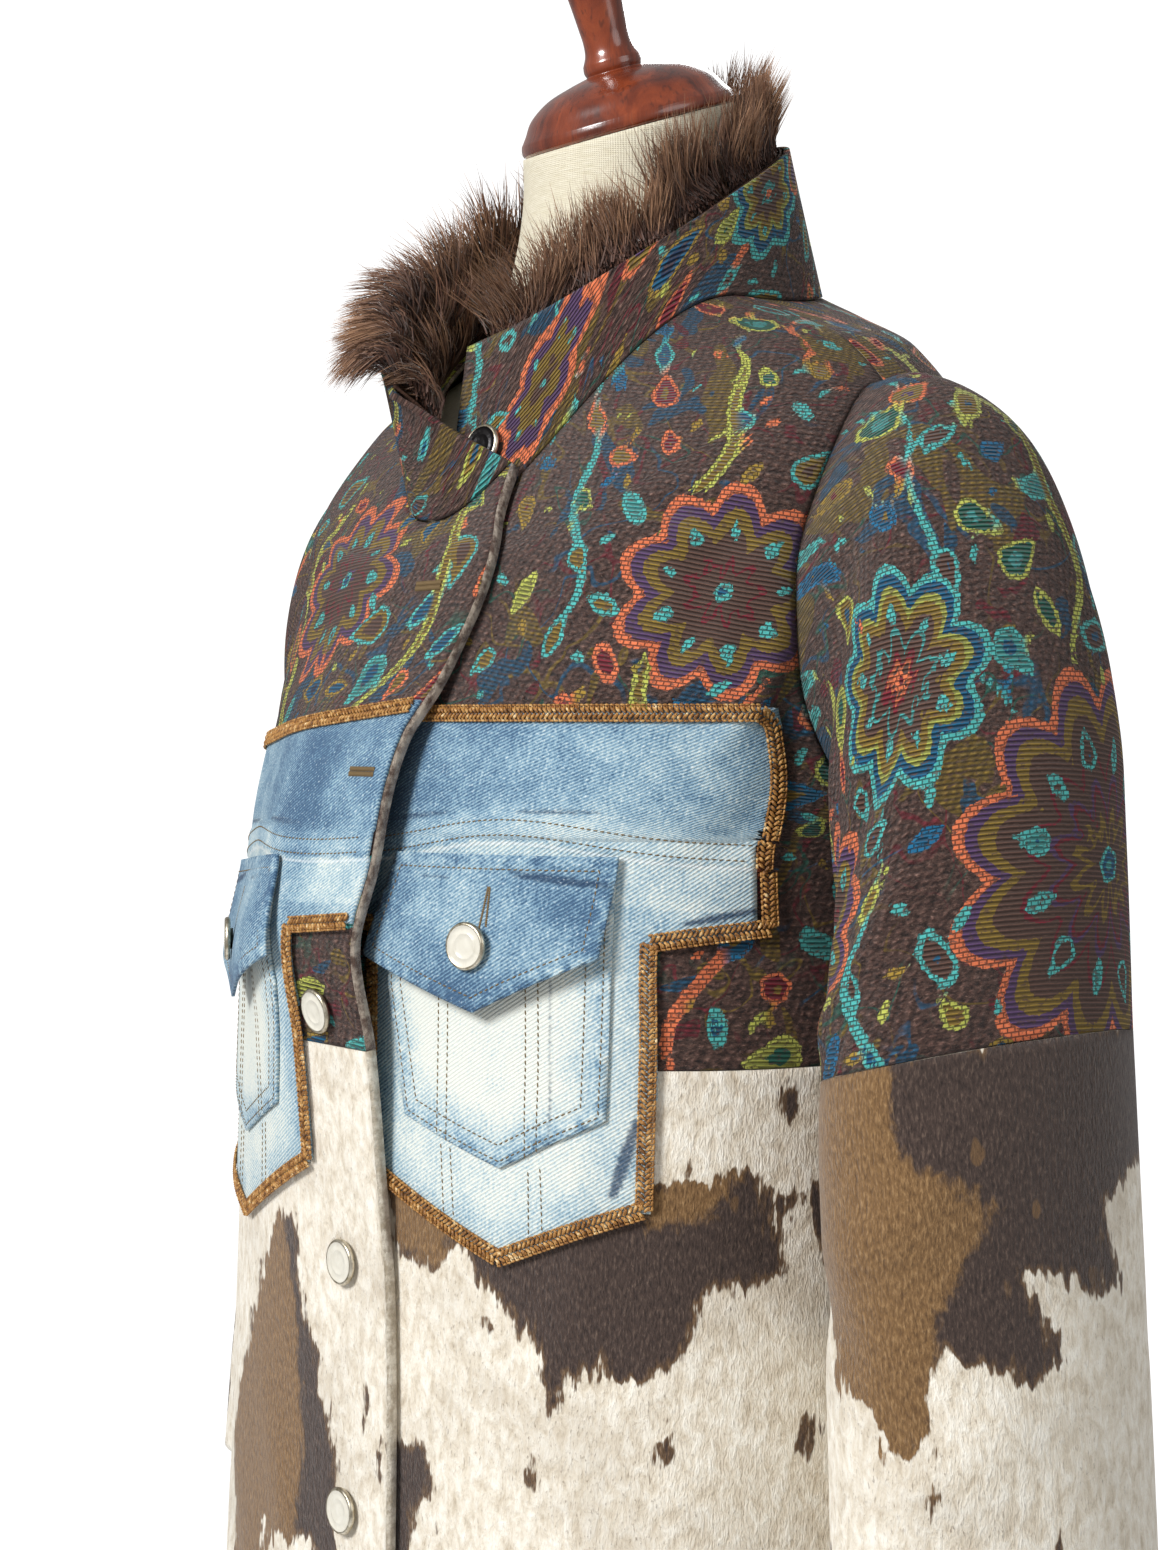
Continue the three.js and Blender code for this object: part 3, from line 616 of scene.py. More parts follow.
def felt(name, low, high):
    material, g, shader = node_material(name)
    place = g.object_coords()
    colour = g.mix(g.step(g.noise(place, 150, 4, 0.7), 0.36, 0.66), low, high)
    normal = g.bump(g.noise(place, 420, 4, 0.7), 0.0022)
    finish_shader(shader, g, colour, 0.95, normal, sheen=0.3, specular=0.15)
    return material


def plain(name, colour, rough, metal=0.0):
    material, g, shader = node_material(name)
    place = g.object_coords()
    tint = g.mix(g.noise(place, 80, 4), tuple(c * 0.8 for c in colour), colour)
    finish_shader(shader, g, tint, rough, g.bump(g.noise(place, 700, 3), 0.0005, 0.4), metal=metal)
    return material


# Tapestry: scalloped rosettes, drops, leaves, rings and wavy ribbons scattered over a brown chenille ground
YARN = {
    "turquoise": tone(70, 158, 154), "blue": tone(22, 92, 128), "orange": tone(196, 104, 68),
    "lime": tone(164, 168, 78), "gold": tone(140, 114, 46), "crimson": tone(124, 34, 48),
    "purple": tone(92, 66, 106), "green": tone(34, 100, 84), "brown": tone(96, 70, 60),
    "navy": tone(22, 46, 78),
}
# Line, fill and core yarns of the scattered motifs, and of the ribbons
SCHEMES = [
    ("turquoise", "brown", "blue"), ("turquoise", "blue", "turquoise"), ("lime", "gold", "blue"),
    ("gold", "gold", "crimson"), ("turquoise", "gold", "brown"), ("orange", "crimson", "gold"),
    ("lime", "green", "turquoise"), ("blue", "blue", "gold"), ("orange", "gold", "purple"),
    ("turquoise", "turquoise", "blue"), ("gold", "blue", "navy"), ("lime", "lime", "green"),
]
RIBBONS = [
    ("turquoise", "blue", "blue"), ("turquoise", "turquoise", "green"), ("lime", "gold", "gold"),
    ("orange", "orange", "crimson"),
]
RIBBON_WIDTHS = (4.6, 2.2, 3.4, 2.6)
# Rosettes of each panel: across and up its cloth, radius, lobes, scallop depth, turn, family 0 or 1
ROSETTES = {
    "front_left_yoke": [
        (18, 62, 44, 9, 0.13, 0.2, 1), (188, 224, 43, 9, 0.14, 0.9, 0), (60, 330, 30, 8, 0.14, 0.3, 1),
    ],
    "front_right_yoke": [
        (-118, 232, 46, 10, 0.14, 0.4, 0), (-40, 300, 26, 8, 0.15, 1.1, 1), (-150, 70, 50, 9, 0.14, 0, 1),
    ],
    "back_yoke": [
        (0, 215, 72, 12, 0.12, 0.1, 0), (-150, 120, 48, 10, 0.14, 0.6, 1), (150, 110, 52, 10, 0.14, 0.2, 1),
        (-130, 260, 34, 8, 0.15, 0.3, 0), (128, 268, 32, 8, 0.15, 0.5, 0), (6, 60, 40, 9, 0.14, 0.9, 1),
    ],
    "sleeve_left_upper": [
        (24, 66, 74, 12, 0.12, 0.5, 0), (-84, 150, 42, 9, 0.14, 0.2, 1), (150, 60, 44, 9, 0.14, 0.8, 1),
        (-150, 60, 40, 9, 0.14, 0.8, 0), (104, 176, 34, 8, 0.14, 0.4, 0),
    ],
    "sleeve_right_upper": [
        (-50, 96, 64, 11, 0.13, 0.1, 0), (84, 120, 44, 9, 0.14, 0.9, 1), (-160, 60, 38, 9, 0.14, 0.3, 0),
    ],
    "collar": [(58, 30, 24, 7, 0.15, 0.2, 0), (196, 52, 30, 8, 0.14, 0.4, 1), (300, 30, 25, 7, 0.15, 0.8, 0)],
}
# Scattering of the motifs: tries, least distance apart, share kept free round a rosette, reach of a motif
TRIES, APART, FREE_SHARE, MOTIF_REACH = 2600, 25, 1.22, 45
RIBBON_PITCH = 62
FAR = 30.0


def drop_distance(x, y, size):
    """A teardrop whose round end is at the origin and whose tip points along x."""
    t = np.clip(x / (2.1 * size), 0, 1)
    return np.hypot(x - t * 2.1 * size, y) - size * (1 - t) ** 0.85


def leaf_distance(x, y, size):
    rise, radius = 1.35 * size, 1.95 * size
    return np.maximum(np.hypot(x, y - rise), np.hypot(x, y + rise)) - radius


def ring_distance(x, y, size):
    return np.hypot(x, y * 1.15) - size * (0.92 + 0.08 * np.cos(5 * np.arctan2(y, x)))


def pod_distance(x, y, size):
    bend = y - 0.25 * size * np.sin(x / size * 1.6)
    return np.hypot(x / 1.9, bend) - size * 0.75


MOTIF_KINDS = (drop_distance, leaf_distance, ring_distance, pod_distance)
DROP, LEAF, RING = 0, 1, 2


def rosette_fields(u, v, rosettes):
    """Distance to the nearest rosette's scalloped edge, below 0 inside it, and that rosette's family."""
    rosette, family = np.full(len(u), FAR), np.zeros(len(u))
    for cu, cv, radius, lobes, deep, turn, kind in rosettes:
        phi = np.arctan2(v - cv, u - cu) + turn
        scallops = 1 - deep + 2 * deep * np.abs(np.sin(phi * lobes / 2)) ** 0.9
        edge = radius * scallops * (1 + 0.05 * np.sin(2 * phi))
        d = np.hypot(u - cu, (v - cv) * 0.95) - edge
        closer = d < rosette
        rosette[closer], family[closer] = d[closer], kind
    return rosette, family


def rosette_motifs(cu, cv, radius, lobes, _, turn, kind):
    """A ring of drops and leaves inside a rosette and a small ring in its middle."""
    motifs = []
    for k in range(lobes):
        a = (k + 0.5) * 2 * math.pi / lobes - turn
        reach = radius * 0.62
        place = (cu + reach * math.cos(a), cv + reach * math.sin(a))
        motifs.append((*place, radius * 0.085, a, LEAF if k % 2 else DROP, kind if k % 3 else 9))
    motifs.append((cu, cv, radius * 0.12, turn, RING, 5 if kind else 1))
    return motifs


def scattered_motifs(rng, low, high, rosettes, seed):
    """Motifs between the rosettes: place, size, turn, kind and yarns, most with small leaves beside them."""
    motifs, spots = [], []
    for _ in range(TRIES):
        p = rng.uniform(low - 5, high + 5)
        if any(math.hypot(p[0] - a, p[1] - b) < r * FREE_SHARE for a, b, r, *_ in rosettes):
            continue
        if all(math.hypot(p[0] - a, p[1] - b) > APART for a, b in spots):
            spots.append(tuple(p))
            flow = 1.2 * math.sin(p[0] / 70 + seed) + 1.6 * math.cos(p[1] / 60) + rng.normal(0, 0.4)
            kind = int(rng.choice(4, p=(0.42, 0.32, 0.10, 0.16)))
            motifs.append((*p, rng.uniform(5.5, 10.5), flow, kind, int(rng.integers(len(SCHEMES)))))
            for side in (-1, 1):
                if rng.random() < 0.6:
                    bend = flow + side * rng.uniform(0.8, 1.6)
                    q = (p[0] + 17 * math.cos(bend), p[1] + 17 * math.sin(bend))
                    motifs.append((*q, rng.uniform(2.8, 4.6), bend, LEAF, int(rng.integers(len(SCHEMES)))))
    return motifs


def motif_fields(u, v, motifs):
    """Distance to the nearest motif and the number of its yarn scheme."""
    nearest, scheme = np.full(len(u), FAR), np.zeros(len(u), int)
    for mu, mv, size, turn, kind, colours in motifs:
        index = np.flatnonzero((np.abs(u - mu) < MOTIF_REACH) & (np.abs(v - mv) < MOTIF_REACH))
        du, dv = u[index] - mu, v[index] - mv
        x, y = du * math.cos(turn) + dv * math.sin(turn), dv * math.cos(turn) - du * math.sin(turn)
        d = MOTIF_KINDS[kind](x, y, size)
        better = d < nearest[index]
        nearest[index[better]] = d[better]
        scheme[index[better]] = colours
    return nearest, scheme


def ribbon_fields(rng, u, v, low, high, seed):
    """Distance to the nearest of the wavy ribbons down the cloth and the number of its yarns."""
    ribbon, hue = np.full(len(u), FAR), np.zeros(len(u), int)
    for k, start in enumerate(np.arange(low + rng.uniform(5, 40), high, RIBBON_PITCH)):
        colour = int(rng.integers(len(RIBBONS)))
        centre = start + 13 * np.sin(v / 31 + k * 1.7) + 5 * np.sin(v / 11.5 + k) + 16 * np.sin(v / 97 + seed)
        slope = np.abs(13 / 31 * np.cos(v / 31 + k * 1.7) + 5 / 11.5 * np.cos(v / 11.5 + k))
        swell = 0.45 + 0.75 * np.abs(np.sin(v / 46 + k * 2.3))
        d = np.abs(u - centre) / np.sqrt(1 + slope ** 2) - RIBBON_WIDTHS[colour] * swell
        d = d + 8 * np.clip(np.sin(v / 88 + k * 2.1 + seed) - 0.35, 0, 1)
        better = d < ribbon
        ribbon[better], hue[better] = d[better], colour
    return ribbon, hue


def tapestry_pattern(sheet, rosettes, seed):
    """Distances to the nearest rosette and motif, and that motif's yarns, kept on the cloth's vertices."""
    rng = np.random.default_rng(seed)
    uv = sheet.uv - np.array(sheet.uv0)
    u, v = uv[:, 0], uv[:, 1]
    low, high = uv.min(0), uv.max(0)
    rosette, family = rosette_fields(u, v, rosettes)
    motifs = [motif for rows in rosettes for motif in rosette_motifs(*rows)]
    motifs += scattered_motifs(rng, low, high, rosettes, seed)
    nearest, scheme = motif_fields(u, v, motifs)
    ribbon, hue = ribbon_fields(rng, u, v, low[0], high[0], seed)
    over = (ribbon < nearest) & (rosette > 0)
    fields = {"rosette": rosette, "family": family, "motif": np.where(over, ribbon, nearest)}
    for label, values in fields.items():
        add_floats(sheet.obj.data, label, values[sheet.source])
    for c, label in enumerate(("line", "fill", "core")):
        colours = np.array([YARN[SCHEMES[s][c]] for s in scheme])
        colours[over] = np.array([YARN[RIBBONS[h][c]] for h in hue])[over]
        add_colours(sheet.obj.data, label, colours[sheet.source])


# Bands inward from a rosette's edge: where each starts in millimetres and its yarn
BAND_REACH = 80.0
WARM_BANDS = [
    (0, "orange"), (5.4, "purple"), (11.5, "gold"), (19, "brown"), (31, "crimson"), (34, "brown"),
    (44, "purple"), (47, "crimson"), (50, "brown"), (57, "gold"), (62, "brown"),
]
COOL_BANDS = [
    (0, "turquoise"), (4.2, "blue"), (9.6, "lime"), (13, "gold"), (19, "brown"), (26, "turquoise"),
    (28.5, "brown"), (35, "crimson"), (38, "orange"), (41, "brown"),
]
# Threads scribbled over the ground: scale of their noise, its value along the thread, yarn
SCRIBBLES = [(26, 0.5, "gold"), (31, 0.52, "crimson"), (22, 0.47, "blue"), (28, 0.55, "green")]
# Ribbed fields between the motifs: scale of their noise, shift, yarn, where they start
RIBBED_FIELDS = [(19, 4.0, "gold", 0.585), (23, 7.5, "blue", 0.62), (30, 2.5, "crimson", 0.66)]


def banded(g, distance, rows):
    stops = [(start / BAND_REACH, YARN[name]) for start, name in rows]
    return g.ramp(g.math("DIVIDE", distance, BAND_REACH, clamp=True), stops, constant=True)


def tapestry_ground(g, uv, chenille, fleck, rib_wave):
    """Brown chenille with thin scribbled threads and uneven ribbed fields of other yarns."""
    ground = g.ramp(chenille, [
        (0.34, tone(28, 18, 16)), (0.45, tone(70, 48, 42)), (0.56, tone(112, 82, 72)),
        (0.68, tone(166, 132, 118))])
    ground = g.mix(g.times(g.step(fleck, 0.62, 0.72), 0.7), ground, tone(168, 138, 122))
    for scale, level, colour in SCRIBBLES:
        field = g.noise(g.moved(uv, level * 9, scale), scale, 1.5, 0.5, 0.6)
        off = g.math("ABSOLUTE", g.math("SUBTRACT", field, level))
        line = g.rest(g.step(off, 0.006, 0.013))
        part = g.step(g.noise(g.moved(uv, scale, 2), 14, 1), 0.46, 0.54)
        ground = g.mix(g.times(g.times(line, part), 0.85), ground, YARN[colour])
    ribs = g.plus(0.3, g.times(rib_wave, 0.95))
    for scale, shift, colour, start in RIBBED_FIELDS:
        field = g.noise(g.scaled(uv, (1, 0.75, 1), 0, (shift, scale, 0)), scale, 2.5, 0.6, 0.8)
        part = g.step(field, start - 0.006, start + 0.006)
        dyed = g.mix(1.0, YARN[colour], ribs, "MULTIPLY")
        ground = g.mix(g.times(part, 0.9), ground, dyed)
    return ground


def tapestry_material():
    material, g, shader = node_material("tapestry")
    uv = g.uv()
    wobble = g.swing(g.noise(uv, 300, 3, 0.7), 4.6)
    rib_wave = g.wave(g.turned(uv, 0.05), 2.0, "Y", 0.5, 1.0)
    cell = g.brick(uv, 3.3, 2.0, 0.34)
    chenille = g.noise(g.scaled(uv, (1, 1.9, 1), 0.12), 240, 5, 0.78)
    fleck = g.noise(g.scaled(uv, (1, 1.8, 1), 0, (3, 5, 0)), 620, 2, 0.6)
    tufts = g.times(g.wave(uv, 2.9, "Y", 4.0, 2.5), g.wave(g.turned(uv, 0.35), 4.2, "X", 5.0, 2.0))
    ground = tapestry_ground(g, uv, chenille, fleck, rib_wave)
    # rosettes, with a row of woven cells along their edge
    inward = g.plus(g.times(g.attribute("rosette"), -1.0), wobble)
    family = g.step(g.attribute("family"), 0.45, 0.55)
    rosette = g.mix(family, banded(g, inward, WARM_BANDS), banded(g, inward, COOL_BANDS))
    in_rosette = g.step(inward, -0.1, 0.1)
    edge_cells = g.times(in_rosette, g.rest(g.step(inward, 4.6, 5.4)))
    # scattered motifs: an outline of woven cells, a fill and a core
    depth = g.plus(g.times(g.attribute("motif"), -1.0), wobble)
    in_motif, in_fill, in_core = (g.step(depth, *ends) for ends in ((-0.2, 0.2), (1.9, 2.3), (5.0, 5.4)))
    line, fill, core = (g.attribute(name, "Color") for name in ("line", "fill", "core"))
    motif = g.mix(in_core, g.mix(in_fill, line, fill), core)
    colour = g.mix(in_motif, g.mix(in_rosette, ground, rosette), motif)
    # how each area is woven
    in_line = g.times(in_motif, g.rest(in_fill))
    cells = g.math("MAXIMUM", in_line, g.times(edge_cells, g.rest(in_motif)))
    woven = g.math("MAXIMUM", in_motif, in_rosette)
    ribbed = g.times(g.rest(cells), woven)
    shade_rib = g.times(g.plus(0.46, g.times(rib_wave, 0.8)), ribbed)
    shade_cell = g.times(g.plus(0.2, g.times(cell, 1.15)), cells)
    shade_tuft = g.times(g.plus(0.6, g.times(tufts, 0.75)), g.rest(woven))
    shade = g.plus(shade_tuft, g.plus(shade_rib, shade_cell))
    shade = g.times(shade, g.plus(0.72, g.times(fleck, 0.55)))
    grey = g.new("CombineXYZ", X=shade, Y=shade, Z=shade).outputs[0]
    colour = g.mix(1.0, colour, grey, "MULTIPLY")
    # worn places where the brown ground shows through
    worn = g.step(g.noise(g.scaled(uv, (1, 2.2, 1), 0, (9, 9, 0)), 280, 3, 0.7), 0.53, 0.63)
    colour = g.mix(g.times(worn, 0.8), colour, g.mix(fleck, tone(58, 40, 35), tone(110, 84, 74)))
    height = g.plus(g.times(cell, g.times(cells, 0.9)), g.times(rib_wave, ribbed))
    pile = g.times(g.plus(g.times(chenille, 2.4), tufts), g.rest(woven))
    finish_shader(shader, g, colour, 0.86, g.bump(g.plus(height, pile), 0.0016), sheen=0.12, specular=0.22)
    return material


def hide_material():
    material, g, shader = node_material("hide")
    uv = g.uv()
    hair = g.noise(g.scaled(uv, (1, 0.3, 1), 0.15), 900, 3, 0.65, 0.3)
    tuft = g.noise(g.scaled(uv, (1, 0.5, 1), 0.1), 190, 4, 0.7, 0.4)
    blotch = g.noise(uv, 16, 3, 0.55)
    # the markings' edges: lobes of several millimetres, with hair points on them
    lobes = g.swing(g.noise(g.scaled(uv, (1, 0.5, 1), 0, (2, 7, 0)), 58, 3, 0.6), 34)
    jag = g.swing(g.noise(g.scaled(uv, (1, 0.16, 1)), 300, 3, 0.65), 17)
    edge = g.plus(g.attribute("patch"), g.plus(jag, lobes))
    mark = g.step(edge, -0.9, 1.3)
    # small spots in a few places
    small = g.noise(g.scaled(uv, (1, 0.5, 1), 0, (5, 1, 0)), 74, 1.5, 0.4)
    few = g.step(g.noise(g.moved(uv, 8, 3), 9, 1), 0.5, 0.6)
    spot = g.times(g.step(small, 0.735, 0.77), few)
    cream = g.ramp(tuft, [
        (0.3, tone(196, 182, 160)), (0.46, tone(224, 214, 196)), (0.64, tone(243, 238, 226))])
    cream = g.mix(g.step(blotch, 0.45, 0.75), cream, g.mix(0.5, cream, tone(184, 172, 154)))
    speck = g.times(g.step(hair, 0.57, 0.72), g.plus(0.28, g.times(g.step(blotch, 0.4, 0.65), 0.4)))
    cream = g.mix(speck, cream, tone(104, 84, 64))
    dark = g.ramp(hair, [(0.3, tone(42, 32, 29)), (0.55, tone(70, 56, 50)), (0.78, tone(112, 94, 82))])
    tan = g.ramp(hair, [(0.28, tone(84, 60, 36)), (0.52, tone(122, 92, 58)), (0.78, tone(166, 134, 94))])
    warm = g.step(g.plus(g.attribute("tan"), g.swing(tuft, 22)), -3.5, 3.5)
    pelt = g.mix(warm, dark, tan)
    pelt = g.mix(g.times(g.rest(g.step(edge, 0.5, 5.0)), 0.55), pelt, tan)
    colour = g.mix(mark, cream, pelt)
    colour = g.mix(g.times(spot, 0.85), colour, g.mix(hair, tone(86, 62, 42), tone(124, 96, 64)))
    height = g.plus(hair, g.times(tuft, 1.4))
    normal = g.bump(g.plus(height, g.times(mark, 0.25)), 0.0013, 0.75)
    finish_shader(shader, g, colour, 0.88, normal, sheen=0.3, specular=0.2)
    return material


def denim_material():
    material, g, shader = node_material("denim")
    uv = g.uv()
    twill = g.wave(g.turned(uv, math.radians(58)), 1.5, "X", 0.8, 2.0)
    slub = g.noise(g.scaled(uv, (1, 0.2, 1)), 700, 3, 0.6)
    cloud = g.noise(uv, 46, 4, 0.65)
    grain = g.noise(uv, 700, 2, 0.6)
    rope = g.noise(g.moved(uv, 4, 4), 190, 1.5, 0.5)
    near_edge = g.rest(g.step(g.attribute("edge"), 3.5, 7.0))
    # how far the blue is worn away, 0 to 1; lower near the opening, where shadow of the right front is
    # painted
    worn = g.attribute("fade_and_shade")
    for part, size in ((cloud, 0.85), (slub, 0.6), (grain, 0.9)):
        worn = g.plus(worn, g.swing(part, size))
    worn = g.math("ADD", worn, g.swing(twill, 0.34), clamp=True)
    worn = g.math("ADD", worn, g.times(near_edge, g.swing(rope, 1.0)), clamp=True)
    colour = g.ramp(worn, [
        (0.0, tone(60, 90, 120)), (0.28, tone(110, 144, 168)), (0.52, tone(154, 180, 192)),
        (0.78, tone(196, 209, 209)), (1.0, tone(220, 223, 214))])
    # dark streaks, some dark indigo and some painted shadow, the pale line of the seam's fold and pale specks
    shade_and_indigo_edge = g.plus(g.attribute("dark"), g.swing(g.noise(g.scaled(uv, (0.6, 1, 1)), 520, 4, 0.75), 4.2))
    shade_and_indigo_mask = g.times(g.step(shade_and_indigo_edge, -0.9, 1.2), 0.85)
    colour = g.mix(shade_and_indigo_mask, colour, g.mix(grain, tone(14, 34, 62), tone(44, 72, 104)))
    white_line = g.rest(g.step(g.math("ABSOLUTE", g.attribute("fold")), 0.2, 1.0))
    colour = g.mix(g.times(white_line, 0.45), colour, tone(226, 232, 234))
    colour = g.mix(g.times(g.step(grain, 0.6, 0.72), 0.35), colour, tone(232, 238, 242))
    height = g.plus(g.times(twill, 0.5), g.times(grain, 0.35))
    pucker = g.times(near_edge, g.times(rope, 1.6))
    normal = g.bump(g.plus(height, pucker), 0.0007, 0.8)
    finish_shader(shader, g, colour, 0.82, normal, sheen=0.15, specular=0.25)
    return material


def fur_material():
    """Strands: dark at the root and paler towards the tip, each with a shade of its own."""
    material, g, shader = node_material("fur_hair")
    along, shade = g.attribute("along"), g.attribute("shade")
    root = g.mix(shade, tone(46, 25, 17), tone(92, 56, 38))
    tip = g.mix(shade, tone(104, 64, 42), tone(192, 148, 112))
    colour = g.mix(g.step(along, 0.15, 1.0), root, tip)
    colour = g.mix(g.times(g.noise(g.object_coords(), 260, 2), 0.45), colour, tone(62, 36, 25))
    finish_shader(shader, g, colour, 0.55, sheen=0.3, specular=0.3)
    return material


def fur_ground_material():
    material, g, shader = node_material("fur_ground")
    hair = g.noise(g.scaled(g.uv(), (1, 0.15, 1)), 420, 3, 0.6)
    colour = g.mix(hair, tone(30, 19, 14), tone(74, 50, 38))
    finish_shader(shader, g, colour, 0.9, g.bump(hair, 0.002), specular=0.2)
    return material


def braid_material():
    material, g, shader = node_material("braid")
    place = g.object_coords()
    # The braid's colour varies at random; its palest stop is a painted highlight, the glints of the thread
    tint = g.ramp(g.noise(place, 330, 2, 0.6), [
        (0.3, tone(96, 60, 24)), (0.48, tone(158, 108, 50)), (0.62, tone(196, 150, 86)),
        (0.74, tone(236, 214, 170))])
    twist = g.wave(g.turned(place, 0.6), 0.5, "DIAGONAL")
    finish_shader(shader, g, tint, 0.5, g.bump(twist, 0.0002, 0.6), specular=0.5)
    return material


def linen_material():
    material, g, shader = node_material("linen")
    place = g.object_coords()
    weave = g.times(g.wave(place, 0.9, "X", 0.6, 1.0), g.wave(place, 0.9, "Z", 0.6, 1.0))
    slub = g.noise(g.scaled(place, (1, 1, 6)), 160, 3)
    colour = g.mix(slub, tone(206, 196, 168), tone(238, 232, 214))
    colour = g.mix(g.times(weave, 0.3), colour, tone(184, 172, 142))
    finish_shader(shader, g, colour, 0.9, g.bump(g.plus(weave, slub), 0.0004, 0.8), sheen=0.1, specular=0.2)
    return material


def wood_material():
    material, g, shader = node_material("wood")
    place = g.object_coords()
    ring = g.noise(g.scaled(place, (1, 1, 0.12)), 46, 4, 0.6, 1.2)
    pore = g.noise(g.scaled(place, (1, 1, 0.06)), 420, 2, 0.6)
    colour = g.ramp(ring, [
        (0.3, tone(58, 20, 10)), (0.48, tone(104, 42, 20)), (0.62, tone(132, 58, 28)),
        (0.78, tone(158, 80, 42))])
    colour = g.mix(g.times(g.step(pore, 0.55, 0.7), 0.5), colour, tone(44, 16, 9))
    finish_shader(shader, g, colour, g.plus(0.2, g.times(pore, 0.16)), g.bump(pore, 0.0003, 0.35))
    shader.inputs["Coat Weight"].default_value = 0.6
    shader.inputs["Coat Roughness"].default_value = 0.12
    return material


def metal_material():
    material, g, shader = node_material("metal")
    tarnish = g.noise(g.object_coords(), 260, 4, 0.65)
    colour = g.ramp(tarnish, [(0.35, tone(150, 138, 112)), (0.6, tone(214, 206, 188))])
    rough = g.plus(0.25, g.times(tarnish, 0.25))
    finish_shader(shader, g, colour, rough, g.bump(tarnish, 0.0002, 0.3), metal=1.0)
    return material


def pearl_material():
    material, g, shader = node_material("pearl")
    cloud = g.noise(g.object_coords(), 180, 3, 0.6, 0.8)
    colour = g.mix(cloud, tone(196, 190, 174), tone(228, 225, 214))
    finish_shader(shader, g, colour, g.plus(0.16, g.times(cloud, 0.14)), g.bump(cloud, 0.0003, 0.3))
    return material


FELT = felt("felt", tone(92, 72, 62), tone(188, 174, 158))
FELT_PALE = felt("felt_pale", tone(176, 162, 140), tone(232, 224, 208))
TAPESTRY_CLOTH, HIDE_CLOTH, DENIM_CLOTH = tapestry_material(), hide_material(), denim_material()
FUR, FUR_GROUND, BRAID = fur_material(), fur_ground_material(), braid_material()
LINEN, WOOD = linen_material(), wood_material()
METAL, PEARL, THREAD = metal_material(), pearl_material(), plain("thread", tone(122, 100, 66), 0.8)
# Dark metal for the collar's button: painted shade of the gap behind the right front's collar, where it lies
BUTTON_METAL_IN_PAINTED_SHADE = plain("button_metal_in_painted_shade", tone(34, 32, 33), 0.35, 0.6)

# The panels
HALF_SEAM = SEAM / 2
YOKE_SHARES = (0.27, 0.86)


def yoke_side(v):
    """Heights up a yoke, closer together at the armhole's ends so that its edge stays round."""
    low, high = YOKE_SHARES
    round_part = ARMHOLE_MIDDLE - ARMHOLE_HALF * np.cos(np.pi * np.clip((v - low) / (high - low), 0, 1))
    lower = YOKE_SEAM + HALF_SEAM + (ARMPIT - YOKE_SEAM - HALF_SEAM) * v / low
    upper = SHOULDER + (NECKLINE - SHOULDER) * (v - high) / (1 - high)
    return np.where(v < low, lower, np.where(v > high, upper, round_part))


def in_yoke(surface):
    return lambda u, v: surface(u, yoke_side(v))


# The right front's thickness along the opening
THICK_OPENING = 5.5
# Fronts and back: surface, columns, start of its cloth coordinates and at which share across, edge thickness
FRONTS = [
    ("front_left", left_front, 66, 40, 0.0, 0),
    ("front_right", right_front, 72, 260, 1.0, THICK_OPENING),
    ("back", back_panel, 120, 500, 0.5, 0),
]
YOKE_ROWS, SKIRT_ROWS = 136, 110

panels = {}
for name, surface, count, offset, ref, edge in FRONTS:
    common = {"uv0": (offset, 0), "ref": ref, "rim": 1, "edge_thick": edge}
    yoke, skirt = name + "_yoke", name + "_skirt"
    panels[yoke] = Sheet(yoke, in_yoke(surface), (0, 1), (0, 1), (count * 6 // 5, YOKE_ROWS), TAPESTRY,
                         [TAPESTRY_CLOTH, FELT], **common)
    panels[skirt] = Sheet(skirt, surface, (0, 1), (HEM, YOKE_SEAM - HALF_SEAM), (count, SKIRT_ROWS), HIDE,
                          [HIDE_CLOTH, FELT_PALE], **common)
for hand, swing, offset in (("left", 0, 1300), ("right", RIGHT_SWING, 900)):
    surface = sleeve_surface(swing, hand)
    common = {"uv0": (offset, 0), "ref": 0.5, "closed": True, "mirror": hand == "right", "rim": 1}
    upper, lower = f"sleeve_{hand}_upper", f"sleeve_{hand}_lower"
    panels[upper] = Sheet(upper, surface, (-180, 180), (-SLEEVE_SEAM + HALF_SEAM, 0), (150, 80), TAPESTRY,
                          [TAPESTRY_CLOTH, FELT], **common)
    panels[lower] = Sheet(lower, surface, (-180, 180), (-CUFF, -SLEEVE_SEAM - HALF_SEAM), (132, 80), HIDE,
                          [HIDE_CLOTH, FELT_PALE], **common)
panels["collar"] = Sheet("collar", collar_point, (COLLAR_EDGE[0][0], COLLAR_EDGE[-1][0]), (0, 1), (160, 30),
                         TAPESTRY, [TAPESTRY_CLOTH], uv0=(1700, 0))

# Denim patches, pockets and flaps: how far over the front each lies
OVER_DENIM = 2 * SEAM + DENIM_THICK
OVER_POCKET = OVER_DENIM + DENIM_THICK + SEAM
# The denim is kept a little past its outline, under the braid, and ends at this distance across
KEPT_PAST, DENIM_END = 2.2, 177.4


def crossed(row):
    return -row[0], row[1] - RIGHT_SLOPE * row[0]


def outline(hand, rows):
    return list(rows) if hand == "left" else [crossed(row) for row in reversed(rows)]


def edges_of(rows):
    return list(zip(rows, rows[1:] + rows[:1]))


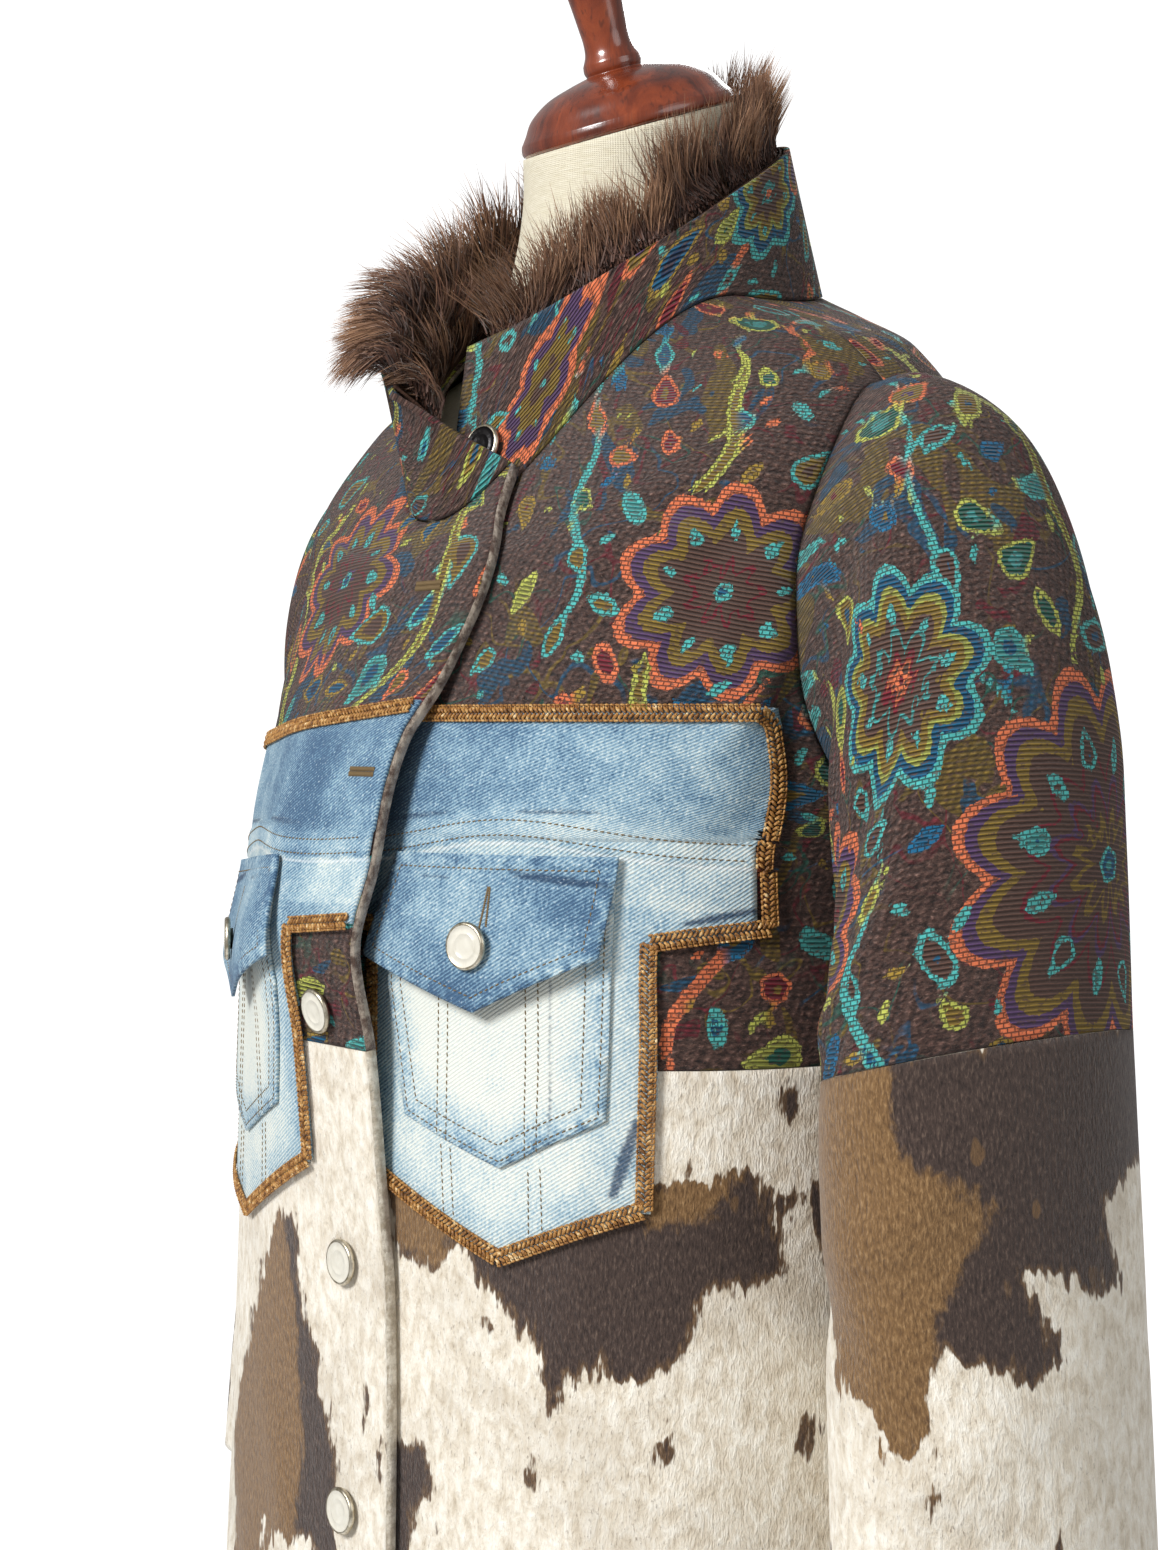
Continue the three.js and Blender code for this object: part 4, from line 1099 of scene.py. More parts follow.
def signed_distance(rows, x, z):
    """Distance in from an outline, below 0 outside it."""
    near = np.full(x.shape, 1e9)
    odd = np.zeros(x.shape, bool)
    for (ax, az), (bx, bz) in edges_of(rows):
        dx, dz = bx - ax, bz - az
        t = np.clip(((x - ax) * dx + (z - az) * dz) / (dx ** 2 + dz ** 2), 0, 1)
        near = np.minimum(near, np.hypot(x - ax - t * dx, z - az - t * dz))
        crosses = (az > z) != (bz > z)
        odd ^= crosses & (x < dx * (z - az) / (dz if dz != 0 else 1e-9) + ax)
    return np.where(odd, near, -near)


def kept_denim(rows):
    def kept(places):
        past = signed_distance(rows, places[:, 0], places[:, 2]) > -KEPT_PAST
        return past & (np.abs(places[:, 0]) < DENIM_END)

    return kept


def flap_height(hand, side):
    top = FLAP_TOP if hand == "left" else FLAP_TOP - RIGHT_SLOPE * FLAP_BUTTON[0]
    return OVER_POCKET + FLAP_STAND * smooth((top - side) / FLAP_DEEP)


def raised(surface, height):
    """A surface moved out along its normal by a height that may change over the coat."""

    def point(u, v):
        base = surface(u, v)
        out = np.broadcast_to(np.asarray(height(v, base)), np.shape(v))
        return base + normal_of(surface, u, v, 0.004, 1.0) * out[..., None]

    return point


# The denim's doubled seam: height where it is highest, place and width of that part, fall beside it; band
SEAM_TOP, TOP_ACROSS, TOP_WIDE, SEAM_FALL = 1160, 95, 60, 12
BAND_DEEP, BAND_RISE = 12, 0.9


def seam_height(across):
    """The height of the denim's doubled seam across the left front."""
    return SEAM_TOP - SEAM_FALL * (1 - np.exp(-(((across - TOP_ACROSS) / TOP_WIDE) ** 2)))


def seam_bump(hand, x, z):
    """The doubled seam across the denim: a low band between its two rows of stitches."""
    if hand == "right":
        x = -x
        z = z + RIGHT_SLOPE * x
    top = seam_height(x)
    return BAND_RISE * smooth((top + 1.5 - z) / 1.5) * smooth((z - top + BAND_DEEP) / 1.2)


def denim_sheets(hand, surface, ref):
    """The patch, pocket and flap of one front, each lying over the one before."""

    def denim_out(v, place):
        return SEAM + DENIM_THICK + seam_bump(hand, place[..., 0], place[..., 2])

    def pocket_out(v, place):
        return OVER_DENIM + DENIM_THICK

    def flap_out(v, place):
        return flap_height(hand, v) + DENIM_THICK

    for kind, out, heights, counts, limits in (
        ("denim", denim_out, (960, 1216), (110, 170), {"keep": kept_denim(outline(hand, DENIM))}),
        ("pocket", pocket_out, (985, 1150), (90, 80), {"cuts": edges_of(outline(hand, POCKET))}),
        ("flap", flap_out, (1050, 1156), (90, 54), {"cuts": edges_of(outline(hand, FLAP))}),
    ):
        name = f"{kind}_{hand}"
        panels[name] = Sheet(name, raised(surface, out), (0, 1), heights, counts, DENIM_THICK, [DENIM_CLOTH],
                             ref=ref, **limits)


denim_sheets("left", left_front, 0.0)
denim_sheets("right", right_front, 1.0)


# Small shapes set down many times, as one mesh
def joined(name, shape, materials, matrices):
    """One mesh of a shape under each matrix: it is doubled until there are enough, then placed."""
    bm = bmesh.new()
    shape(bm)
    proto = np.array([v.co for v in bm.verts])
    count = len(matrices)
    while len(bm.verts) < count * len(proto):
        short = count - len(bm.verts) // len(proto)
        bm.verts.ensure_lookup_table()
        bm.faces.ensure_lookup_table()
        per_face = len(bm.faces) * len(proto) // len(bm.verts)
        faces = bm.faces[:min(len(bm.faces), short * per_face)]
        verts, edges = {v: 0 for f in faces for v in f.verts}, {e: 0 for f in faces for e in f.edges}
        bmesh.ops.duplicate(bm, geom=[*verts, *edges, *faces])
    bm.verts.ensure_lookup_table()
    bm.verts.index_update()
    frames = np.array([np.array(m) for m in matrices])
    seen = {}
    for vert in bm.verts:
        key = tuple(np.round(vert.co, 4))
        copy = seen.get(key, 0)
        seen[key] = copy + 1
        vert.co = Vector(frames[copy, :3, :3] @ np.array(vert.co) + frames[copy, :3, 3])
    return new_object(name, bm, materials)


def bead(bm):
    bmesh.ops.create_icosphere(bm, subdivisions=1, radius=1.0)


def frame_matrix(at, along, out, size):
    """Axes along, across and out at a place, all in millimetres, with a size for each."""
    along = along / np.linalg.norm(along)
    out = out - along * np.dot(along, out)
    out = out / np.linalg.norm(out)
    axes = (along, np.cross(out, along), out)
    rows = [[*(axis[k] * s for axis, s in zip(axes, size)), at[k]] for k in range(3)]
    m = Matrix(rows + [[0, 0, 0, 1]])
    for r in range(3):
        for c in range(4):
            m[r][c] *= MM
    return m


# A line is laid over a front in fine steps, and its direction is taken this far behind and ahead
LINE_STEP, LOOK_AHEAD = 0.4, 0.6


def line_on_front(hand, rows, pitch, over):
    """Points, directions and normals every pitch along a line given across and up, laid over a front."""
    xs, zs = [], []
    for (ax, az), (bx, bz) in zip(rows, rows[1:]):
        t = np.arange(0, 1, LINE_STEP / max(0.5, math.hypot(bx - ax, bz - az)))
        xs.extend(ax + (bx - ax) * t)
        zs.extend(az + (bz - az) * t)
    xs, zs = np.array([*xs, rows[-1][0]]), np.array([*zs, rows[-1][1]])
    height = over(zs) if callable(over) else over + seam_bump(hand, xs, zs)
    point, normal = front_at(hand, xs, zs, height)
    run = run_along(point)
    at = np.arange(pitch / 2, run[-1], pitch)

    def spaced(values, where):
        return np.stack([np.interp(where, run, values[:, k]) for k in range(3)], -1)

    ahead = spaced(point, at + LOOK_AHEAD) - spaced(point, at - LOOK_AHEAD)
    return spaced(point, at), ahead / np.linalg.norm(ahead, axis=1, keepdims=True), spaced(normal, at)


# The left braid ends under the right front, at this distance across
LEFT_END = -20


def braid_rows(hand):
    """The denim's outline without the part that runs off the front at the opening."""
    high, low = DENIM[0][1], DENIM[-1][1]
    if hand == "left":
        return [(LEFT_END, low), *reversed(DENIM[1:-1]), (LEFT_END, high)]
    top, foot = (float(opening_at(z + 2.0)[0]) - 1 for z in (high, low))
    return [crossed((-top, high)), *[crossed(row) for row in DENIM[1:-1]], crossed((-foot, low))]


# The beads of one step of the braid: offset across it, lean and half sizes
BRAID_PITCH, BRAID_RISE = 2.3, 0.9
BRAID_BEADS = [
    (1.35, 0.85, (2.1, 0.85, 1.0)), (-1.35, -0.85, (2.1, 0.85, 1.0)), (3.4, 0.1, (1.3, 0.62, 0.8)),
    (-3.4, -0.1, (1.3, 0.62, 0.8)), (2.5, 1.45, (1.3, 0.4, 0.5)), (-2.5, -1.45, (1.3, 0.4, 0.5)),
]


def braid(hand):
    parts = []
    line = line_on_front(hand, braid_rows(hand), BRAID_PITCH, OVER_DENIM + BRAID_RISE)
    for place, along, out in zip(*line):
        across = np.cross(out, along)
        for off, lean, size in BRAID_BEADS:
            direction = along * math.cos(lean) + across * math.sin(lean)
            parts.append(frame_matrix(place + across * off + along * (0.6 * lean), direction, out, size))
    belong(joined("braid_chain_" + hand, bead, [BRAID], parts), "braid", "braid_" + hand)


braid("left")
braid("right")


# Buttons, cap, pole and base: profiles turned about an axis
def turned(name, profile, materials, steps=48, matrix=None, face_material=None):
    bm = bmesh.new()
    verts = [bm.verts.new(Vector((r, 0, z)) * MM) for r, z in profile]
    edges = [bm.edges.new(pair) for pair in zip(verts, verts[1:])]
    bmesh.ops.spin(bm, geom=verts + edges, cent=(0, 0, 0), axis=(0, 0, 1), angle=2 * math.pi, steps=steps,
                   use_merge=True)
    bmesh.ops.remove_doubles(bm, verts=bm.verts, dist=1e-7)
    bmesh.ops.recalc_face_normals(bm, faces=bm.faces)
    if face_material:
        for face in bm.faces:
            c = face.calc_center_median()
            face.material_index = face_material(math.hypot(c.x, c.y) / MM, c.z / MM)
    if matrix is not None:
        bmesh.ops.transform(bm, matrix=matrix, verts=bm.verts)
    return new_object(name, bm, materials)


def rounded(rows, steps=6):
    """A profile with a smooth curve through its rows; a row given twice keeps a sharp corner."""
    out = []
    parts, run = [], [rows[0]]
    for a, b in zip(rows, rows[1:]):
        if a == b:
            parts.append(run)
            run = [b]
        else:
            run.append(b)
    parts.append(run)
    for run in parts:
        if len(run) < 3:
            out.extend(run)
            continue
        keyed = curve([(i, *row) for i, row in enumerate(run)])
        r, z = keyed(np.linspace(0, len(run) - 1, (len(run) - 1) * steps + 1))
        out.extend((max(0.0, float(a)), float(b)) for a, b in zip(r, z))
    clean = [out[0]]
    for row in out[1:]:
        if math.hypot(row[0] - clean[-1][0], row[1] - clean[-1][1]) > 1e-3:
            clean.append(row)
    return clean


BUTTON = [
    (0, 0), (5, 0), (5, 1.3), (9.6, 1.3), (10.3, 2.0), (10.4, 2.8), (10.0, 3.6), (9.4, 4.0), (8.9, 3.9),
    (8.5, 3.4), (6.0, 3.45), (5.6, 3.8), (5.2, 3.8), (4.8, 3.45), (2.5, 3.6), (0, 3.65),
]
# The pale face lies inside this radius, above this height; a button stands off its cloth by this gap
FACE_RADIUS, FACE_HEIGHT, BUTTON_GAP, FLAP_BUTTON_GAP = 8.8, 3, 0.3, 0.6


def on_face(radius, height):
    return 1 if radius < FACE_RADIUS and height > FACE_HEIGHT else 0


def button(name, point, normal, face=PEARL):
    up = Vector(normal).to_track_quat("Z", "Y").to_matrix().to_4x4()
    matrix = Matrix.Translation(Vector(point) * MM) @ up
    belong(turned(name + "_turned", BUTTON, [METAL, face], 40, matrix, on_face), "button", name)


def lifted_point(angle, side):
    return body_point(angle, side, lift_at(angle, side))


for i, row in enumerate(FRONT_BUTTONS):
    across, side = (np.array(float(x)) for x in row)
    angle = edge_angle(across, side)
    n = normal_of(lifted_point, angle, side)
    button(f"button_front_{i + 1}", lifted_point(angle, side) + n * BUTTON_GAP, n)
for hand, (across, side) in (("left", FLAP_BUTTON), ("right", crossed(FLAP_BUTTON))):
    over = float(flap_height(hand, side)) + DENIM_THICK
    place, n = front_at(hand, np.array([across]), np.array([side]), over)
    button("button_flap_" + hand, place[0] + n[0] * FLAP_BUTTON_GAP, n[0])
turn, rise = (np.array(float(x)) for x in NECK_BUTTON)
n = normal_of(collar_point, turn, rise, 1.0, 0.02)
# The collar's button gets the dark metal, painted shade
button("button_neck", collar_point(turn, rise) + n * BUTTON_GAP, n, BUTTON_METAL_IN_PAINTED_SHADE)


# The form, a little smaller than the inside of the coat's cloth
FORM_SLACK = 0.8


def form_ring(k, turn):
    if k < len(FORM_ROOM):
        side, room = FORM_ROOM[k]
        sides = np.full(turn.shape, float(side))
        inset = TAPESTRY + FORM_SLACK + room
        point = girth_point(turn, sides) - normal_of(girth_point, turn, sides) * inset
        if side < ARMPIT:
            point[..., 2] = side
        return point
    share, radius, top = NECK_RINGS[k - len(FORM_ROOM)]
    x, y = radius * np.sin(np.radians(turn)), -radius * np.cos(np.radians(turn))
    ring = stack(x, y, NECK_TOP - top + y * math.tan(math.radians(NECK_LEAN)))
    base = form_ring(len(FORM_ROOM) - 1, turn)
    return base + (ring - base) * share


FORM_RINGS = len(FORM_ROOM) + len(NECK_RINGS)


def form_point(turn, k):
    """The form's surface on a smooth curve through its rings, whose number k may be a fraction."""
    rings = np.stack([form_ring(i, turn) for i in range(FORM_RINGS)])
    i = np.clip(np.floor(k).astype(int), 0, FORM_RINGS - 2)
    t = (k - i)[..., None]

    def take(j):
        return np.take_along_axis(rings, np.clip(j, 0, FORM_RINGS - 1)[None, ..., None], 0)[0]

    p, q, before, after = take(i), take(i + 1), take(i - 1), take(i + 2)
    return 0.5 * ((2 * p) + (q - before) * t + (2 * before - 5 * p + 4 * q - after) * t * t
                  + (3 * p - before - 3 * q + after) * t ** 3)


form = Sheet("form_body", form_point, (-180, 180), (0, FORM_RINGS - 1), (104, 120), 0, [LINEN], ref=0.5,
             closed=True)
bm = bmesh.new()
bm.from_mesh(form.obj.data)
bmesh.ops.holes_fill(bm, edges=[e for e in bm.edges if e.is_boundary])
bmesh.ops.recalc_face_normals(bm, faces=bm.faces)
bm.to_mesh(form.obj.data)
bm.free()
belong(form.obj, "linen", "form_body")

# Profiles as radius and height; a row given twice keeps a sharp corner
CAP = [
    (0, 0), (0, 0), (53, 0), (53, 0), (54.3, 1.2), (54.6, 3.5), (54, 6), (54, 6), (51, 10), (46, 17),
    (36, 23.5), (24, 27.2), (14, 29.5), (14, 29.5), (14.8, 32), (14.5, 35), (14.5, 35), (12.2, 40),
    (11.6, 46), (12, 52), (13.2, 66), (15.3, 84), (15.6, 88), (14, 92), (14, 92), (18, 96), (22, 101),
    (25, 111), (23, 123), (13, 133), (6, 136.2), (0, 137),
]
POLE = [
    (0, 33.3), (0, 33.3), (22, 33.3), (22, 33.3), (22.3, 36.5), (22, 40), (22, 40), (15, 52), (14, 80),
    (14, 80), (14, 600), (14, 600), (15.5, 609), (17, 618), (17, 618), (17, 654.7), (17, 654.7), (0, 654.7),
]
BASE = [
    (0, 0), (0, 0), (196, 0), (196, 0), (198.8, 1.2), (200, 4), (200, 12), (197, 17), (192, 19), (192, 19),
    (150, 24), (60, 29), (34, 33), (34, 33), (0, 33),
]
TURNED_STEPS = 80
lean = math.radians(NECK_LEAN)
neck = Vector((0, -SEAM * math.sin(lean), NECK_TOP + SEAM)) * MM
tilt = Matrix.Translation(neck) @ Matrix.Rotation(lean, 4, "X")
for name, profile, matrix in (("form_cap", CAP, tilt), ("form_pole", POLE, None), ("form_base", BASE, None)):
    belong(turned(name + "_turned", rounded(profile), [WOOD], TURNED_STEPS, matrix), "wood", name)

# The fur inside the collar and over its edge: where it starts up the collar, and at the collar's left end
FUR_START, FUR_END_START, FUR_TOP = 0.12, 0.55, 1.005
FUR_DEPTH, BACKING_THICK, BACKING_SHORT = 4.2, 1.2, 3


def fur_base(turn, share):
    """The collar's inner face from where the fur starts, in share 0, to the top edge, 1."""
    low = FUR_START + (FUR_END_START - FUR_START) * smooth((turn - 335) / 30)
    rise = low + (FUR_TOP - low) * share
    n = normal_of(collar_point, turn, rise, 1.0, 0.02)
    return collar_point(turn, rise) - n * FUR_DEPTH, n


fur_ends = (COLLAR_EDGE[0][0] + BACKING_SHORT, COLLAR_EDGE[-1][0] - BACKING_SHORT)
fur_back = Sheet("fur_backing", lambda turn, share: fur_base(turn, share)[0], fur_ends, (0, 1), (150, 18),
                 BACKING_THICK, [FUR_GROUND])

# Strands: how many, their parts, and how many sets of bends their locks choose from
STRANDS, STRAND_PARTS, LOCKS = 21500, 4, 5003
# The share of them near the edge; usual, least and greatest length, half width, and half width at the tip
EDGE_SHARE, HAIR_LONG, HAIR_LEAST, HAIR_MOST, HAIR_HALF, TIP_HALF = 0.45, 34, 14, 60, 0.36, 0.03


def unit(vectors):
    return vectors / np.linalg.norm(vectors, axis=-1, keepdims=True)


def strands():
    """Hairs rooted in the collar's inner face, in clumps, up at the back and out over the edge in front."""
    turn = RNG.uniform(4, 379, STRANDS)
    at_edge = RNG.uniform(0, 1, STRANDS) < EDGE_SHARE
    share = np.where(at_edge, RNG.uniform(0.84, 1.0, STRANDS), RNG.uniform(0.02, 1, STRANDS) ** 0.8)
    root, n = fur_base(turn, share)
    around = unit(fur_base(turn + 0.5, share)[0] - root)
    up = unit(fur_base(turn, share + 0.02)[0] - root)
    root = root - n * 1.0
    lock = (np.floor(turn / 4.6 + share) + 997 * np.floor(share * 4)).astype(int)
    mark = np.random.default_rng(3).normal(size=(LOCKS, 4))[np.mod(lock * 7 + 13, LOCKS)]
    stray = RNG.normal(size=(STRANDS, 3))
    front = smooth((turn - 285) / 55) + smooth((40 - turn) / 40) * 0.6
    length = (HAIR_LONG + 7 * mark[:, 0] + 6 * stray[:, 0] + 12 * front) * np.where(share > 0.8, 1.12, 0.85)
    length = np.clip(length, HAIR_LEAST, HAIR_MOST)
    start = -n * (0.95 - 0.75 * smooth((share - 0.6) / 0.4))[:, None] + up * 0.75
    start = start + around * (0.22 * mark[:, 1] + 0.22 * stray[:, 1])[:, None]
    over = (0.1 + 1.35 * front * share + 0.4 * (share > 0.9) + 0.3 * mark[:, 3])[:, None]
    end = n * over + up * (0.95 - 1.0 * front * share)[:, None]
    end = end + around * (0.4 * mark[:, 2] + 0.3 * stray[:, 2])[:, None]
    t = np.linspace(0, 1, STRAND_PARTS + 1)
    bend = smooth(t * 1.1)[None, :, None]
    step = unit(start)[:, None, :] * (1 - bend) + unit(end)[:, None, :] * bend
    path = root[:, None, :] + np.cumsum(step, axis=1) * (length / (STRAND_PARTS + 1))[:, None, None]
    wide = HAIR_HALF * (1 - t ** 2.0) + TIP_HALF
    facing = unit(np.cross(step, RNG.normal(size=(STRANDS, 1, 3))))
    shade = np.clip(0.5 + 0.22 * mark[:, 3] + 0.2 * RNG.normal(size=STRANDS), 0, 1)
    return path, facing * wide[None, :, None], t, shade


def strips(name, path, half, t, shade, material):
    """Every strand as a tapering strip: one wide grid with every second column of faces taken out."""
    count, rows = path.shape[:2]
    bm = bmesh.new()
    bmesh.ops.create_grid(bm, x_segments=2 * count - 1, y_segments=rows - 1, size=0.5)
    flat = np.array([v.co[:2] for v in bm.verts]) + 0.5
    i = np.rint(flat[:, 0] * (2 * count - 1)).astype(int)
    j = np.rint(flat[:, 1] * (rows - 1)).astype(int)
    strand, side = i // 2, np.where(i % 2, 1.0, -1.0)
    place = path[strand, j] + half[strand, j] * side[:, None]
    gaps = [f for f in bm.faces if len({int(strand[v.index]) for v in f.verts}) > 1]
    bmesh.ops.delete(bm, geom=gaps, context="FACES")
    for vert in bm.verts:
        vert.co = Vector(place[vert.index]) * MM
    obj = new_object(name, bm, [material])
    add_floats(obj.data, "along", t[j])
    add_floats(obj.data, "shade", shade[strand])
    return obj


belong(strips("fur_strands", *strands(), FUR), "fur")

for seed, (name, rosettes) in enumerate(ROSETTES.items()):
    tapestry_pattern(panels[name], rosettes, seed + 11)

# Hide print: outlines of dark patches and of the tan parts in them. On skirts they are given in degrees round
# and height, on sleeves in degrees from the outer line and distance along. The scale is millimetres a degree,
# and past the degrees seen the edges get more bays. The visible ones lie as seen, the hidden ones are alike.
PATCHES = {
    "front_left_skirt": {
        "scale": 3.35, "seen": 78, "spots": 44,
        "dark": [
            [(-8, 1060), (5, 1000), (16, 960), (25, 970), (34, 950), (40, 915), (47, 930), (54, 925),
             (60, 965), (69, 970),
             (66, 1015), (50, 1005), (46, 1060)],
            [(72, 1000), (90, 1010), (90, 955), (74, 965)],
            [(2, 880), (20, 885), (15, 840), (15, 800), (8, 760), (-10, 770), (-10, 860)],
            [(30, 760), (42, 770), (52, 740), (58, 690), (50, 655), (40, 668), (32, 640), (26, 690)],
        ],
        "tan": [[(8, 1000), (20, 1010), (24, 960), (11, 970)], [(50, 1005), (64, 1015), (60, 995), (52, 990)],
                [(30, 760), (42, 770), (44, 720), (30, 700)]],
    },
    "front_right_skirt": {
        "scale": 3.35, "seen": 78, "spots": 30,
        "dark": [
            [(-18, 970), (-32, 890), (-38, 850), (-38, 760), (-28, 700), (-20, 820), (-5, 825), (0, 770),
             (5, 790), (0, 870),
             (-12, 970)],
            [(-72, 1060), (-60, 1010), (-54, 960), (-62, 930), (-66, 955), (-72, 900), (-80, 915),
             (-92, 905), (-92, 1060)],
            [(-70, 790), (-60, 780), (-52, 720), (-58, 660), (-66, 690), (-74, 650), (-84, 700), (-80, 760)],
        ],
        "tan": [[(-18, 985), (-32, 890), (-40, 865), (-42, 760), (-24, 700), (-10, 800), (-8, 870),
                 (-12, 940)],
                [(-92, 1000), (-92, 905), (-76, 905), (-78, 980)]],
    },
    "back_skirt": {
        "scale": 3.2, "seen": 0, "spots": 28,
        "dark": [
            [(88, 1060), (150, 1060), (146, 1010), (134, 940), (128, 905), (118, 968), (106, 975), (88, 968)],
            [(196, 1060), (262, 1060), (258, 1000), (248, 960), (236, 930), (226, 900), (212, 960),
             (200, 975)],
            [(150, 890), (170, 905), (190, 880), (196, 820), (186, 770), (170, 750), (160, 735), (144, 830)],
            [(104, 800), (118, 812), (128, 770), (124, 700), (114, 670), (98, 700), (96, 760)],
            [(222, 780), (238, 800), (252, 770), (256, 700), (246, 660), (228, 650), (218, 700)],
        ],
        "tan": [[(118, 1060), (150, 1060), (140, 990), (126, 1000)], [(196, 1060), (220, 1060), (214, 950),
                                                                      (200, 960)],
                [(150, 890), (166, 905), (166, 830), (150, 800)], [(236, 800), (256, 770), (256, 690),
                                                                   (240, 700)]],
    },
    "sleeve_left_lower": {
        "scale": 1.15, "seen": 60, "spots": 24,
        "dark": [
            [(-200, -205), (-200, -300), (-150, -330), (-120, -310), (-90, -345), (-65, -350), (-55, -320),
             (-5, -330),
             (-25, -290), (15, -300), (10, -270), (60, -250), (95, -295), (110, -260), (150, -255),
             (200, -280),
             (200, -205)],
            [(70, -400), (92, -385), (118, -400), (126, -440), (112, -476), (84, -465), (66, -440)],
            [(-150, -430), (-130, -415), (-108, -440), (-112, -480), (-132, -500), (-152, -480)],
        ],
        "tan": [[(-200, -200), (-66, -200), (-66, -245), (-34, -264), (-56, -305), (-58, -370), (-100, -370),
                 (-120, -320),
                 (-200, -320)],
                [(96, -200), (150, -200), (140, -262), (90, -310)]],
    },
    "sleeve_right_lower": {
        "scale": 1.15, "seen": 0, "spots": 16,
        "dark": [
            [(-200, -205), (-200, -262), (-140, -310), (-104, -262), (-70, -318), (-48, -330), (-18, -270),
             (6, -282),
             (22, -334), (42, -360), (66, -290), (90, -262), (120, -284), (150, -262), (200, -262),
             (200, -205)],
            [(-60, -400), (-38, -388), (-16, -410), (-10, -460), (-30, -486), (-58, -470), (-74, -430)],
            [(90, -392), (116, -380), (132, -420), (120, -470), (100, -452), (84, -430)],
        ],
        "tan": [[(-60, -200), (20, -200), (10, -290), (-30, -300), (-60, -330)],
                [(84, -380), (132, -380), (120, -430), (90, -430)]],
    },
}


# Where there is no marking its distance is this, and bays are cut only nearer than the second
NO_MARK, BAY_LIMIT = -40.0, -30


def deepest(outlines, scale, u, v):
    """How far in a place lies from the edge of the nearest of some outlines, below 0 outside them."""
    depth = np.full(len(u), NO_MARK)
    for corners in outlines:
        depth = np.maximum(depth, signed_distance([(a * scale, b) for a, b in corners], u, v))
    return depth


def hide_pattern(sheet, name, rows):
    """Depth in the dark and tan markings, with seeded flecks, kept on the cloth's vertices."""
    scale = rows["scale"]
    u, v = sheet.param[:, 0] * scale, sheet.param[:, 1]
    if name.endswith("skirt"):
        around = np.degrees(np.arctan2(sheet.place[:, 0], -sheet.place[:, 1]))
        u = (np.mod(around, 360) if name.startswith("back") else around) * scale
    dark, tan = (deepest(rows[kind], scale, u, v) for kind in ("dark", "tan"))
    hidden = smooth((np.abs(u / scale) - rows["seen"]) / 10)
    bays = 9 * np.sin(u / 15 + 2 * np.sin(v / 37)) * np.cos(v / 19 + np.sin(u / 29))
    bays = bays + 6 * np.sin(u / 8.3 + v / 23)
    dark = np.where(dark > BAY_LIMIT, dark + hidden * bays, dark)
    tan = np.where(tan > BAY_LIMIT, tan - hidden * bays, tan)
    rng = np.random.default_rng(len(name) + rows["spots"])
    for _ in range(rows["spots"]):
        across = rng.uniform(u.min(), u.max())
        along = v.max() - (v.max() - v.min()) * rng.uniform(0.04, 1) ** 1.3
        wide, tall = rng.uniform(1.6, 3.0), rng.uniform(2.5, 7.5)
        dark = np.maximum(dark, 4.5 - 3.6 * np.hypot((u - across) / wide, (v - along) / tall))
    add_floats(sheet.obj.data, "patch", dark[sheet.source])
    add_floats(sheet.obj.data, "tan", tan[sheet.source])


for name, rows in PATCHES.items():
    hide_pattern(panels[name], name, rows)

# Dark marks of the denim, as across and height on the left front: from, to, half width. Those above the seam,
# along the flap's top and down the pocket are painted shadow; the others are dark indigo.
SHADE_AND_INDIGO_MARKS = {
    "denim": [
        (149, 1034, 142, 1003, 2.4), (178, 1122, 161, 1116, 1.7), (98, 1162, 132, 1162.5, 0.9),
        (24, 1157, 60, 1161, 1.1),
    ],
    "pocket": [(118, 1092, 120, 1020, 0.7)],
    "flap": [(101, 1136, 141, 1132, 1.9), (46, 1134, 70, 1133, 0.6)],
}


def fading(kind, x, z, edge, below):
    """How far the denim is faded, from about 0 to 1, lower where shade is painted. It is also lower in a band
    about 20 mm across, near the patch's lower edges and towards the pocket's and the flap's foot.
    """
    if kind == "pocket":
        return 0.62 + 0.5 * smooth(edge / 26) - 0.2 * smooth((1060 - z) / 60)
    if kind == "flap":
        return 0.3 + 0.14 * np.sin(x / 17) * np.sin(z / 13) - 0.16 * smooth((1098 - z) / 12)
    # Above the seam the denim is darker towards the opening: painted shadow of the right front
    fade_and_shade = np.where(below > 0, 0.62 + 0.25 * smooth(below / 60), 0.22 + 0.2 * smooth((x - 60) / 90))
    fade_and_shade = fade_and_shade + 0.28 * np.exp(-((z - seam_height(x) + 5) / 7) ** 2)
    return fade_and_shade - 0.25 * np.exp(-((x - 20) / 16) ** 2) - 0.2 * smooth((22 - edge) / 18) * (below > 20)


